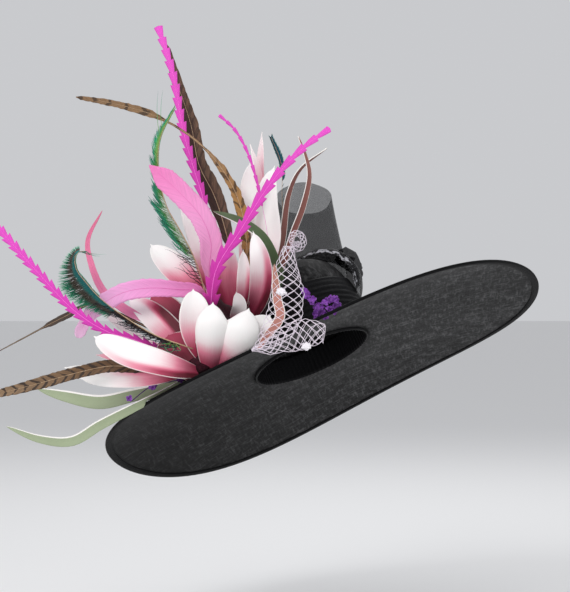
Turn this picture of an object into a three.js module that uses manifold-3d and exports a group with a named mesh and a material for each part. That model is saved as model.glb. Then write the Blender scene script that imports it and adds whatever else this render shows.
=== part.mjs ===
// A very wide tilted sinamay hat with a spray of foam flowers, leaves and feathers on its front left.
// Millimetres, +X to the wearer's left as seen from the front, +Y away from the viewer, +Z up.
// The origin is the middle of the head opening, and the hat keeps its worn tilt.
import * as THREE from "three";
import { mergeVertices } from "three/addons/utils/BufferGeometryUtils.js";
import Module from "manifold-3d";

const wasm = await Module();
wasm.setup();

const { Vector3 } = THREE;
const radians = THREE.MathUtils.degToRad;
const blend = THREE.MathUtils.lerp;

// Worn tilt: a roll to one side, then a tip back that shows the brim's underside from the front
const ROLL = radians(23.2);
const TIP_BACK = radians(16.2);

// Brim: a shallow dome from the head opening down to a wavy rim
const RIM_RADIUS = 343;
const RIM_CENTRE = { right: 8.5, back: 9.6, up: -34.2 };
const RIM_WAVES = [
  { turns: 2, cosine: 0.9, sine: 4.4 },
  { turns: 3, cosine: -7.5, sine: -7.4 },
];
const BRIM_THICK = 1.6;
const BRIM_ARCH = 7;
const BRIM_SECTORS = 40;
const BRIM_CELLS = 3;

// Head opening and crown: oval, longer from front to back than from side to side
const OPENING_RADIUS = 88.5;
const OVAL = 1.096;
const ROUND_SECTORS = 20;
const HEAD_BAND = { thick: 2, below: 5, above: 34 };
const CROWN_WALL = 2;
const CROWN_FOOT = 2.2;
const CROWN_OUTLINE = [
  { radius: 99, height: CROWN_FOOT },
  { radius: 99.5, height: 45 },
  { radius: 96, height: 78 },
  { radius: 87, height: 106 },
  { radius: 70, height: 125 },
  { radius: 42, height: 135 },
];
const CROWN_HEIGHT = 138;
const HAT_BAND = { low: 3, high: 80, thin: 2.6, thick: 5, pleats: 4 };

// Rolled strip round the rim: its slot holds the brim's edge, and its nose stands out beyond it
const BINDING = { width: 9, wall: 1, shoulder: 1, nose: 1.8 };

// Space kept between neighbours, and the slightly wider one that the fitted round pieces are made with
const GAP = 0.3;
const FIT = 0.35;

// The eye that the tables below are read from: level, in front of the hat
const EYE = { across: -39, up: 88.5, distance: 2400 };

// A point seen at across and up in the plane of the head opening, at a depth behind that plane.
function seen([across, up, depth]) {
  const spread = (EYE.distance + depth) / EYE.distance;
  return new Vector3(
    EYE.across + (across - EYE.across) * spread,
    depth,
    EYE.up + (up - EYE.up) * spread,
  );
}

// The hat's own axes: right along the brim, back, and up through the crown.
const hatTurn = new THREE.Matrix4()
  .makeRotationY(-ROLL)
  .multiply(new THREE.Matrix4().makeRotationX(-TIP_BACK));

function hatPoint(right, back, up) {
  return new Vector3(right, back, up).applyMatrix4(hatTurn);
}

// A closed skin over rings of equal length: looped back to the first ring, or capped at both ends.
function loft(rings, looped = false) {
  const count = rings[0].length;
  const index = [];
  const at = (ring, i) => (ring % rings.length) * count + (i % count);
  const quad = (a, b, c, d) => index.push(a, b, c, a, c, d);
  const spans = looped ? rings.length : rings.length - 1;
  for (let ring = 0; ring < spans; ring++)
    for (let i = 0; i < count; i++)
      quad(at(ring, i), at(ring, i + 1), at(ring + 1, i + 1), at(ring + 1, i));
  if (!looped)
    for (let i = 0; i < count / 2 - 1; i++) {
      const far = count - 1 - i;
      const end = rings.length - 1;
      quad(at(0, i), at(0, far), at(0, far - 1), at(0, i + 1));
      quad(at(end, i), at(end, i + 1), at(end, far - 1), at(end, far));
    }
  const geometry = new THREE.BufferGeometry().setFromPoints(rings.flat());
  geometry.setIndex(index);
  return geometry;
}

// A geometry as a solid with its faces pointing out.
function solidOf(geometry) {
  const bare = new THREE.BufferGeometry()
    .setAttribute("position", geometry.getAttribute("position").clone())
    .setIndex(geometry.index);
  const merged = mergeVertices(bare, 1e-3);
  const corners = merged.index.array;
  const triVerts = [];
  for (let i = 0; i < corners.length; i += 3) {
    const [a, b, c] = corners.slice(i, i + 3);
    if (a !== b && b !== c && c !== a) triVerts.push(a, b, c);
  }
  const build = (list) =>
    new wasm.Manifold(
      new wasm.Mesh({
        numProp: 3,
        vertProperties: merged.attributes.position.array,
        triVerts: new Uint32Array(list),
      }),
    );
  const made = build(triVerts);
  return made.volume() > 0 ? made : build(triVerts.reverse());
}

function largestPiece(solid) {
  const pieces = solid.decompose();
  return pieces.reduce((best, piece) => (piece.volume() > best.volume() ? piece : best));
}

const hat = new THREE.Group();
const placed = [];

// Adds a named solid, cut back by a gap from what is there already, and keeps its grown form for the next.
function place(name, finish, build) {
  let body = build(0);
  const box = boxOf(body);
  for (const other of placed)
    if (box.intersectsBox(other.box)) body = body.subtract(other.solid);
  body = largestPiece(body);
  const { numProp, vertProperties, triVerts } = body.getMesh();
  const points = new Float32Array((vertProperties.length / numProp) * 3);
  for (let i = 0; i < points.length / 3; i++)
    points.set(vertProperties.subarray(i * numProp, i * numProp + 3), i * 3);
  const geometry = new THREE.BufferGeometry();
  geometry.setAttribute("position", new THREE.BufferAttribute(points, 3));
  geometry.setIndex(new THREE.BufferAttribute(triVerts, 1));
  geometry.computeVertexNormals();
  const mesh = new THREE.Mesh(geometry, new THREE.MeshStandardMaterial(finish));
  mesh.name = name;
  hat.add(mesh);
  const grown = build(GAP);
  placed.push({ solid: grown, box: boxOf(grown) });
}

function boxOf(solid) {
  const { min, max } = solid.boundingBox();
  return new THREE.Box3(new Vector3(...min), new Vector3(...max));
}

// Finishes: colour, roughness and metalness of each material
const SINAMAY = { color: "#171717", roughness: 0.75, metalness: 0 };
const BINDING_CLOTH = { color: "#0d0d0e", roughness: 0.55, metalness: 0 };
const CRIN = { color: "#2a2a2c", roughness: 0.35, metalness: 0 };
const PAD_FELT = { color: "#5c1d2c", roughness: 0.9, metalness: 0 };
const HOT_PINK = { color: "#e63fc4", roughness: 0.7, metalness: 0 };
const PALE_PINK = { color: "#ffb4e6", roughness: 0.8, metalness: 0 };
const PEACOCK = { color: "#1c6b4c", roughness: 0.4, metalness: 0.1 };
const PHEASANT = { color: "#8b6a4c", roughness: 0.7, metalness: 0 };
const LEAF_GREEN = { color: "#8c9f78", roughness: 0.8, metalness: 0 };
const LEAF_SALMON = { color: "#b5645a", roughness: 0.8, metalness: 0 };
const PETAL_WHITE = { color: "#fff4f2", roughness: 0.8, metalness: 0 };
const PETAL_ROSE = { color: "#e8708c", roughness: 0.8, metalness: 0 };
const PETAL_DARK = { color: "#a02c44", roughness: 0.8, metalness: 0 };
const NET = { color: "#e0d0e0", roughness: 0.5, metalness: 0 };
const FLORET = { color: "#8a3fb0", roughness: 0.8, metalness: 0 };
const TUFT = { color: "#f6f2f4", roughness: 0.9, metalness: 0 };

// The brim's middle surface: sector is the angle from the right, and outward runs from opening to rim.
function brimPoint(sector, outward) {
  const edge = OPENING_RADIUS + HEAD_BAND.thick + FIT;
  const wave = RIM_WAVES.reduce(
    (sum, { turns, cosine, sine }) =>
      sum + cosine * Math.cos(turns * sector) + sine * Math.sin(turns * sector),
    0,
  );
  const inner = [edge * Math.cos(sector), edge * OVAL * Math.sin(sector), 0];
  const outer = [
    RIM_CENTRE.right + RIM_RADIUS * Math.cos(sector),
    RIM_CENTRE.back + RIM_RADIUS * Math.sin(sector),
    RIM_CENTRE.up + wave,
  ];
  const [right, back, up] = inner.map((value, i) => blend(value, outer[i], outward));
  return hatPoint(right, back, up + BRIM_ARCH * Math.sin(Math.PI * outward));
}

// Outward, along and upright directions on the brim at one place.
function brimAxes(sector, outward) {
  const cell = 1 / BRIM_CELLS;
  const turn = (2 * Math.PI) / BRIM_SECTORS;
  const from = Math.max(0, outward - cell);
  const out = brimPoint(sector, from + cell).sub(brimPoint(sector, from)).normalize();
  const along = brimPoint(sector + turn, outward).sub(brimPoint(sector - turn, outward)).normalize();
  const upright = new Vector3().crossVectors(out, along).normalize();
  return { out, upright };
}

function brimSolid(grow) {
  const rings = [];
  for (let i = 0; i < BRIM_SECTORS; i++) {
    const sector = (i / BRIM_SECTORS) * 2 * Math.PI;
    const over = [];
    const under = [];
    for (let cell = 0; cell <= BRIM_CELLS; cell++) {
      const outward = cell / BRIM_CELLS;
      const { out, upright } = brimAxes(sector, outward);
      const middle = brimPoint(sector, outward);
      if (cell === 0) middle.addScaledVector(out, -grow);
      if (cell === BRIM_CELLS) middle.addScaledVector(out, grow);
      const rise = BRIM_THICK / 2 + grow;
      over.push(middle.clone().addScaledVector(upright, rise));
      under.unshift(middle.clone().addScaledVector(upright, -rise));
    }
    rings.push([...over, ...under]);
  }
  return solidOf(loft(rings, true));
}

// Section of the binding as outward and upright offsets from the rim: a strip folded over the edge.
function bindingSection(grow) {
  const slot = BRIM_THICK / 2 + FIT;
  const skin = slot + BINDING.wall + grow;
  const inner = -BINDING.width - grow;
  const outside = [
    [inner, skin],
    [BINDING.shoulder + grow, skin],
    [BINDING.nose + grow, 0],
    [BINDING.shoulder + grow, -skin],
    [inner, -skin],
  ];
  const slotSides = [
    [inner, -slot],
    [FIT, -slot],
    [FIT, slot],
    [inner, slot],
  ];
  return grow > 0 ? outside : [...outside, ...slotSides];
}

function bindingSolid(grow) {
  const rings = [];
  for (let i = 0; i < BRIM_SECTORS; i++) {
    const sector = (i / BRIM_SECTORS) * 2 * Math.PI;
    const { out, upright } = brimAxes(sector, 1);
    const rim = brimPoint(sector, 1);
    const onRim = ([across, rise]) =>
      rim.clone().addScaledVector(out, across).addScaledVector(upright, rise);
    rings.push(bindingSection(grow).map(onRim));
  }
  return solidOf(loft(rings, true));
}

// A round piece from a closed profile of radius and height, made oval and set in the hat's tilt.
function ovalSolid(profile) {
  const points = [...profile, profile[0]].map(([radius, height]) => new THREE.Vector2(radius, height));
  const geometry = new THREE.LatheGeometry(points, ROUND_SECTORS);
  geometry.rotateX(Math.PI / 2);
  geometry.scale(1, OVAL, 1);
  geometry.applyMatrix4(hatTurn);
  return solidOf(geometry);
}

function crownSolid(grow) {
  const outer = CROWN_OUTLINE.map(({ radius, height }) => [radius + grow, height]);
  const inner = CROWN_OUTLINE.map(({ radius, height }) => [
    radius - CROWN_WALL - grow,
    height - (height / CROWN_HEIGHT) * CROWN_WALL,
  ]).reverse();
  const foot = CROWN_FOOT - grow;
  outer[0][1] = foot;
  inner[inner.length - 1][1] = foot;
  const top = [0, CROWN_HEIGHT + grow];
  const ceiling = [0, CROWN_HEIGHT - CROWN_WALL - grow];
  return ovalSolid([...outer, top, ceiling, ...inner]);
}

function headBandSolid(grow) {
  const inside = OPENING_RADIUS - grow;
  const outside = OPENING_RADIUS + HEAD_BAND.thick + grow;
  const low = -HEAD_BAND.below - grow;
  const high = HEAD_BAND.above + grow;
  return ovalSolid([[inside, low], [outside, low], [outside, high], [inside, high]]);
}

// Radius of the crown's outside at a height above the head opening.
function crownRadius(height) {
  const upper = CROWN_OUTLINE.findIndex((row) => row.height > height);
  const low = CROWN_OUTLINE[upper - 1];
  const high = CROWN_OUTLINE[upper];
  return blend(low.radius, high.radius, (height - low.height) / (high.height - low.height));
}

function hatBandSolid(grow) {
  const { low, high, thin, thick, pleats } = HAT_BAND;
  const reach = (height) => (height === low ? low - grow : height === high ? high + grow : height);
  const outer = [];
  for (let fold = 0; fold <= 2 * pleats; fold++) {
    const height = blend(low, high, fold / (2 * pleats));
    const skin = fold % 2 ? thick : thin;
    outer.push([crownRadius(height) + FIT + skin + grow, reach(height)]);
  }
  const between = CROWN_OUTLINE.map((row) => row.height).filter((height) => height > low && height < high);
  const inner = [low, ...between, high].map((height) => [crownRadius(height) + FIT - grow, reach(height)]);
  return ovalSolid([...outer, ...inner.reverse()]);
}

// A thin curved sheet along a centre line, as a petal, a leaf or the flat form of a feather.
// turn is how far its face is turned from the viewer about the line, at the base and at the tip.
function sheetSolid({ line, width, shape, turn = [0, 0], cup = 0, thick, steps, cells = 1 }, grow) {
  const path = new THREE.CatmullRomCurve3(line.map(seen), false, "centripetal");
  const rings = [];
  for (let step = 0; step <= steps; step++) {
    const along = step / steps;
    const centre = path.getPointAt(along);
    const ahead = path.getTangentAt(along);
    if (step === 0) centre.addScaledVector(ahead, -grow);
    if (step === steps) centre.addScaledVector(ahead, grow);
    const face = new Vector3(0, -1, 0);
    face.addScaledVector(ahead, -face.dot(ahead)).normalize();
    face.applyAxisAngle(ahead, radians(blend(turn[0], turn[1], along)));
    const side = new Vector3().crossVectors(ahead, face);
    const share = shape(along, step);
    const half = (width / 2) * share + grow;
    const front = [];
    const rear = [];
    for (let cell = 0; cell <= cells; cell++) {
      const across = (2 * cell) / cells - 1;
      const middle = centre
        .clone()
        .addScaledVector(side, across * half)
        .addScaledVector(face, cup * share * across * across);
      front.push(middle.clone().addScaledVector(face, thick / 2 + grow));
      rear.unshift(middle.clone().addScaledVector(face, -thick / 2 - grow));
    }
    rings.push([...front, ...rear]);
  }
  return solidOf(loft(rings));
}

// Share of the full width along a petal or leaf: narrow base, widest part way, round tip.
function petalShape(widest, { base, tip }) {
  return (along) => {
    if (along < widest) return blend(base, 1, Math.sin((Math.PI / 2) * (along / widest)));
    const beyond = (along - widest) / (1 - widest);
    return blend(tip, 1, Math.sqrt(Math.max(0, 1 - beyond * beyond)));
  };
}

// Share of the full width along a feather: bare quill up to the vane, then an even vane with a soft tip.
// The vane opens and closes over a short part of the length.
const VANE = { opens: 0.15, closes: 0.12, quill: 0.2 };

function vaneShape(from, quill, tip) {
  return (along) => {
    if (along < from) return quill;
    const rise = Math.min(1, (along - from) / VANE.opens);
    const close = Math.min(1, (1 - along) / VANE.closes);
    return Math.max(quill, rise) * blend(tip, 1, close);
  };
}

// Share of the full width along a feather trimmed to a saw-tooth edge on both sides.
const NOTCH_SHARE = 0.55;

function sawShape(tip) {
  return (along, step) => (step % 2 ? 1 : NOTCH_SHARE) * blend(1, tip, along);
}

// The hidden bound pad: balls of felt from the brim up to the crown's front left
const PAD_BALLS = [
  { name: "front", at: [-148.5, -19.5, -235], radius: 34 },
  { name: "left", at: [-181.5, -16.5, -225], radius: 28 },
  { name: "middle", at: [-151.5, 30, -205], radius: 34 },
  { name: "feathers", at: [-151.5, 73.5, -190], radius: 20 },
  { name: "bridge", at: [-127.5, 49.5, -170], radius: 26 },
  { name: "top", at: [-100.5, 64.5, -135], radius: 26 },
  { name: "crown side", at: [-95, 66, -98], radius: 30 },
];

const PAD_FACETS = { around: 8, up: 5 };

function ballSolid({ at, radius }, facets, grow) {
  const { x, y, z } = seen(at);
  const ball = new THREE.SphereGeometry(radius + grow, facets.around, facets.up);
  return solidOf(ball.translate(x, y, z));
}

function padSolid(grow) {
  return PAD_BALLS.map((ball) => ballSolid(ball, PAD_FACETS, grow)).reduce((sum, ball) => sum.add(ball));
}

// Feathers are flat forms of one thickness, with this many steps along a plain vane
const FEATHER = { thick: 1.5, steps: 11 };

// Hot-pink feathers: base to tip as [across, up, depth], width over the teeth, number of teeth
const PINK_FEATHERS = [
  {
    line: [[-148.5, 94.5, -150], [-162, 234, -118], [-174, 273, -105], [-192, 337.5, -85], [-207, 420, -62],
      [-229.5, 493.5, -40]],
    width: 15, teeth: 15, tip: 0.8,
  },
  {
    line: [[-82.5, 75, -130], [-64.5, 157.5, -150], [-73.5, 225, -165], [-93, 298.5, -174],
      [-114, 337.5, -182], [-138, 360, -195]],
    width: 6, teeth: 8, tip: 0.7,
  },
  {
    line: [[-150, 54, -215], [-150, 76.5, -240], [-142.5, 127.5, -252], [-106.5, 186, -258],
      [-61.5, 256.5, -264], [-12, 310.5, -270], [28.5, 340, -276]],
    width: 25, teeth: 13, tip: 0.35,
  },
  {
    line: [[-196.5, -7.5, -232], [-264, 22.5, -248], [-304.5, 34.5, -256], [-352.5, 64.5, -260],
      [-418.5, 133.5, -270], [-487.5, 211.5, -284]],
    width: 15, teeth: 14, tip: 0.8,
  },
];

// Pale pink goose feathers
const GOOSE_FEATHERS = [
  {
    line: [[-153, 85.5, -195], [-153, 130, -212], [-150, 168, -220], [-165, 207, -226], [-192, 238.5, -232],
      [-219, 264, -238], [-243, 283.5, -244]],
    width: 28, from: 0.12, tip: 0.35, turn: [20, 0],
  },
  {
    line: [[-156, 82, -190], [-170, 96, -205], [-196.5, 98, -212], [-241.5, 100.5, -216], [-279, 94.5, -218],
      [-309, 79.5, -214], [-328.5, 64.5, -206], [-351, 27, -196]],
    width: 23, from: 0.05, tip: 0.5,
  },
  {
    line: [[-181.5, 15, -210], [-249, 52.5, -192], [-274.5, 66, -188], [-310.5, 94.5, -180],
      [-330, 138, -170], [-334.5, 172.5, -160], [-315, 214.5, -150]],
    width: 12, from: 0.2, tip: 0.3,
  },
];

// Peacock sword feathers
const PEACOCK_FEATHERS = [
  {
    line: [[-156, 82, -185], [-172.5, 139.5, -196], [-196.5, 187.5, -199], [-216, 222, -199],
      [-228, 270, -192], [-226.5, 322.5, -184], [-204, 372, -176]],
    width: 13, from: 0.25, tip: 0.3,
  },
  {
    line: [[-189, 13.5, -222], [-234, 30, -232], [-279, 57, -234], [-318, 87, -234], [-345, 108, -234],
      [-366, 130, -230], [-362, 155, -222]],
    width: 21, from: 0.62, quill: 0.4, tip: 0.5,
  },
  {
    line: [[-90, 68, -126], [-58, 125, -112], [-43.5, 187.5, -102], [-43.5, 240, -94], [-45, 288, -84],
      [-60, 327, -72]],
    width: 11, from: 0.75, tip: 0.4,
  },
];

// Barred pheasant tail feathers
const PHEASANT_FEATHERS = [
  {
    line: [[-102, 82.5, -140], [-96, 157.5, -146], [-105, 220.5, -148], [-124.5, 265.5, -150],
      [-166.5, 316.5, -156], [-226.5, 355.5, -164], [-286.5, 375, -176], [-352.5, 387, -190]],
    width: 9, from: 0.05, tip: 0.5,
  },
  {
    line: [[-112.5, 66, -110], [-120, 150, -92], [-130.5, 195, -80], [-145.5, 240, -66],
      [-168, 285, -52], [-180, 345, -36], [-199.5, 405, -18], [-219, 469.5, 2]],
    width: 18, from: 0.3, tip: 0.3,
  },
  {
    line: [[-189, -13.5, -240], [-240, -17, -262], [-267, -18, -272], [-301.5, -16.5, -276],
      [-346.5, -25.5, -281], [-406.5, -42, -290], [-481.5, -61.5, -302]],
    width: 14, from: 0.2, tip: 0.7,
  },
  {
    line: [[-181.5, 7.5, -212], [-250, 44, -180], [-331.5, 75, -174], [-367.5, 58.5, -170],
      [-391.5, 46.5, -166], [-436.5, 22.5, -158], [-484.5, -3, -148]],
    width: 4, from: 0, tip: 0.8,
  },
];

// Foam leaves
const LEAF = { thick: 2, steps: 10, ends: { base: 0.3, tip: 0.1 } };
const LEAVES = [
  {
    finish: LEAF_GREEN, width: 19, widest: 0.6,
    line: [[-178, -26, -225], [-226.5, -49.5, -214], [-271.5, -61.5, -206], [-316.5, -70.5, -198],
      [-369, -61.5, -188], [-406.5, -52.5, -178]],
  },
  {
    finish: LEAF_GREEN, width: 13, widest: 0.6,
    line: [[-178, -30, -232], [-219, -55, -236], [-264, -78, -236], [-316.5, -105, -238],
      [-358.5, -129, -242], [-406.5, -126, -250], [-454.5, -109.5, -260]],
  },
  {
    finish: LEAF_GREEN, width: 11, widest: 0.5,
    line: [[-88, 66, -155], [-48, 112.5, -172], [-54, 139.5, -176], [-73.5, 177, -182],
      [-106.5, 201, -192], [-147, 216, -206]],
  },
  {
    finish: LEAF_SALMON, width: 18, widest: 0.45,
    line: [[-81, 6, -326], [-73.5, 25.5, -334], [-64.5, 64.5, -338], [-61.5, 100.5, -336],
      [-57, 135, -332]],
  },
  {
    finish: LEAF_SALMON, width: 11, widest: 0.6,
    line: [[-82, 62, -122], [-55, 120, -118], [-43.5, 175.5, -110], [-34.5, 240, -98],
      [-16.5, 279, -84], [24, 310.5, -66]],
  },
  {
    finish: LEAF_SALMON, width: 11, widest: 0.6,
    line: [[-84, 62, -140], [-46.5, 127.5, -138], [-27, 184.5, -138], [-12, 225, -140],
      [-3, 270, -146], [-9, 300, -154], [-19.5, 328.5, -164]],
  },
];

// Petals of the three flowers: width, where it is widest, and how far its edges come forward
const PETAL = { thick: 2, steps: 5, cells: 3, ends: { base: 0.35, tip: 0.12 } };
const PETALS = [
  { name: "front_petal_1", finish: PETAL_WHITE, width: 35, widest: 0.55, cup: -6, turn: [0, 0],
    line: [[-156, -19.5, -262], [-157, 22.5, -290], [-152.5, 55.5, -300], [-147, 78, -288]] },
  { name: "front_petal_2", finish: PETAL_WHITE, width: 58, widest: 0.58, cup: -9, turn: [-10, -10],
    line: [[-139.5, -16.5, -262], [-119, 12, -290], [-103, 43, -300], [-93, 69, -286]] },
  { name: "front_petal_3", finish: PETAL_ROSE, width: 36, widest: 0.6, cup: 4, turn: [-20, -20],
    line: [[-129, -10.5, -255], [-93, 22.5, -268], [-74, 43, -266], [-61.5, 58.5, -256]] },
  { name: "front_petal_4", finish: PETAL_ROSE, width: 38, widest: 0.6, cup: 6, turn: [15, 15],
    line: [[-162, -7.5, -250], [-183, 37.5, -255], [-183, 72, -250], [-177, 97.5, -240]] },
  { name: "left_petal_1", finish: PETAL_WHITE, width: 46, widest: 0.55, cup: 5, turn: [35, 35],
    line: [[-169.5, -25.5, -258], [-219, -12, -296], [-279, 6, -306], [-324, 27, -300]] },
  { name: "left_petal_2", finish: PETAL_ROSE, width: 30, widest: 0.5, cup: 3, turn: [-45, -45],
    line: [[-184, -28, -248], [-241.5, -37, -262], [-301.5, -40, -262], [-348, -36, -256]] },
  { name: "left_petal_3", finish: PETAL_ROSE, width: 22, widest: 0.5, cup: 2, turn: [-50, -50],
    line: [[-184, -22, -244], [-286.5, -27, -238], [-331.5, -22.5, -230], [-367.5, -24, -222]] },
  { name: "left_petal_4", finish: PETAL_ROSE, width: 20, widest: 0.5, cup: 2, turn: [40, 40],
    line: [[-186, -8, -236], [-241.5, -8, -222], [-286.5, -4.5, -212], [-322.5, 0, -204]] },
  { name: "left_petal_5", finish: PETAL_WHITE, width: 38, widest: 0.5, cup: 5, turn: [15, 15],
    line: [[-174, 4.5, -214], [-208, 32, -204], [-241.5, 62, -190], [-274.5, 85.5, -176]] },
  { name: "left_petal_6", finish: PETAL_ROSE, width: 46, widest: 0.6, cup: 5, turn: [10, 10],
    line: [[-176, 12, -195], [-198, 42, -176], [-218, 66, -162], [-240, 90, -150]] },
  { name: "left_petal_7", finish: PETAL_WHITE, width: 16, widest: 0.5, cup: 1, turn: [40, 40],
    line: [[-178, 0, -210], [-241.5, 15, -184], [-286.5, 45, -172], [-316.5, 76.5, -162],
      [-328.5, 102, -152]] },
  { name: "left_petal_8", finish: PETAL_DARK, width: 56, widest: 0.6, cup: 9, turn: [0, 0],
    line: [[-169.5, -34.5, -252], [-187, -9, -250], [-204, 12, -242], [-214, 30, -230]] },
  { name: "top_petal_1", finish: PETAL_WHITE, width: 26, widest: 0.75, cup: 4, turn: [0, 0],
    line: [[-99, 64.5, -128], [-96, 142.5, -124], [-96, 210, -122], [-93, 255, -127], [-91.5, 288, -136]] },
  { name: "top_petal_2", finish: PETAL_WHITE, width: 40, widest: 0.62, cup: 5, turn: [-25, -25],
    line: [[-88, 72, -132], [-63, 172.5, -118], [-66, 225, -108], [-61.5, 262.5, -100], [-54, 283.5, -92]] },
  { name: "top_petal_3", finish: PETAL_WHITE, width: 31, widest: 0.5, cup: 6, turn: [-10, -10],
    line: [[-90, 54, -155], [-75, 97.5, -188], [-75, 139.5, -200], [-87, 184.5, -190]] },
  { name: "top_petal_4", finish: PETAL_WHITE, width: 21, widest: 0.5, cup: 4, turn: [5, 5],
    line: [[-104, 58, -158], [-100.5, 105, -184], [-102, 157.5, -188]] },
  { name: "top_petal_5", finish: PETAL_ROSE, width: 36, widest: 0.6, cup: 5, turn: [10, 10],
    line: [[-122, 60, -165], [-129, 120, -180], [-127.5, 168, -172]] },
  { name: "top_petal_6", finish: PETAL_WHITE, width: 21, widest: 0.5, cup: 3, turn: [0, 0],
    line: [[-116, 46, -185], [-107, 73.5, -206], [-112.5, 94.5, -204]] },
  { name: "top_petal_7", finish: PETAL_WHITE, width: 44, widest: 0.5, cup: 7, turn: [20, 20],
    line: [[-159, 78, -180], [-194, 118, -172], [-226, 150, -158], [-240, 165, -148]] },
  { name: "top_petal_8", finish: PETAL_WHITE, width: 50, widest: 0.6, cup: 7, turn: [20, 20],
    line: [[-148.5, 80, -170], [-157.5, 157.5, -150], [-176, 214, -128], [-192, 237, -112]] },
  { name: "top_petal_9", finish: PETAL_ROSE, width: 18, widest: 0.6, cup: 1, turn: [45, 45],
    line: [[-98, 72, -108], [-82.5, 202.5, -96], [-79.5, 270, -84], [-91.5, 316.5, -70]] },
  { name: "top_petal_10", finish: PETAL_ROSE, width: 18, widest: 0.6, cup: 1, turn: [-40, -40],
    line: [[-94, 72, -92], [-75, 202.5, -72], [-76.5, 270, -56], [-73.5, 334.5, -40]] },
];

// Crin pieces on the crown
const DRAPE = { width: 86, thick: 1.2, steps: 12, spread: 125, fall: 36, seat: HAT_BAND.high + FIT };
const DRAPE_LANES = [-1, -0.5, 0.5, 1];
const DRAPE_ARCH = [
  { right: 99.5, up: DRAPE.seat },
  { right: 102, up: 104 },
  { right: 88, up: 130 },
  { right: 55, up: 147 },
  { right: 18, up: 154 },
];
const TUBE = { wall: 1.2, sectors: 20 };
const TUBE_RINGS = [
  { at: [2, 70, 98], across: 46, deep: 26, lean: 0 },
  { at: [1, 80, 125], across: 56, deep: 38, lean: 3 },
  { at: [-3, 90, 180], across: 50, deep: 42, lean: 15 },
  { at: [-9, 96, 240], across: 43, deep: 40, lean: 30 },
];
const SIDE_LOOP = {
  line: [[22, 112, 52], [38, 148, 50], [50, 157, 48], [61, 147, 46], [64, 126, 44], [60, 104, 42],
    [44, 86, 40]],
  width: 38,
  turn: [50, 50],
  thick: 1.5,
  steps: 12,
  shape: () => 1,
};

// The band that arches over the crown: its edges fall with the dome.
function drapeSolid(grow) {
  const half = DRAPE_ARCH.map(({ right, up }) => new Vector3(right, 0, up));
  const other = half.map(({ x, z }) => new Vector3(-x, 0, z)).reverse();
  const arch = new THREE.CatmullRomCurve3([...half, ...other]);
  const rings = [];
  for (let step = 0; step <= DRAPE.steps; step++) {
    const along = step / DRAPE.steps;
    const { x, z } = arch.getPointAt(along);
    const tangent = arch.getTangentAt(along);
    const normal = new Vector3(-tangent.z, 0, tangent.x).multiplyScalar(DRAPE.thick / 2 + grow);
    const foot = step === 0 || step === DRAPE.steps ? grow : 0;
    const row = DRAPE_LANES.map((side) => {
      const back = side * (DRAPE.width / 2 + grow);
      const narrow = Math.sqrt(1 - (back / DRAPE.spread) ** 2);
      const high = Math.sin(Math.PI * along);
      return [x * narrow, back, z - (1 - narrow) * DRAPE.fall * high - foot];
    });
    const skin = (sign) =>
      row.map(([right, back, up]) => hatPoint(right + sign * normal.x, back, up + sign * normal.z));
    rings.push([...skin(1), ...skin(-1).reverse()]);
  }
  return solidOf(loft(rings));
}

// The tall open sleeve: outer skin up, inner skin back down.
function tubeSolid(grow) {
  const ring = ({ at: [x, y, z], across, deep, lean }, inset, lift) => {
    const points = [];
    for (let i = 0; i < TUBE.sectors; i++) {
      const angle = (i / TUBE.sectors) * 2 * Math.PI;
      const right = (across - inset) * Math.cos(angle);
      const back = (deep - inset) * Math.sin(angle);
      const tilt = radians(lean);
      points.push(
        new Vector3(x + right, y + back * Math.cos(tilt), z + back * Math.sin(tilt) + lift),
      );
    }
    return points;
  };
  const last = TUBE_RINGS.length - 1;
  const lift = (i) => (i === 0 ? -grow : i === last ? grow : 0);
  const outer = TUBE_RINGS.map((row, i) => ring(row, -grow, lift(i)));
  const inner = TUBE_RINGS.map((row, i) => ring(row, TUBE.wall + grow, lift(i))).reverse();
  return solidOf(loft([...outer, ...inner], true));
}

// How far the grown form of a net reaches past its two sides, as a share of its width
const NET_MARGIN = 0.03;

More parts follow.
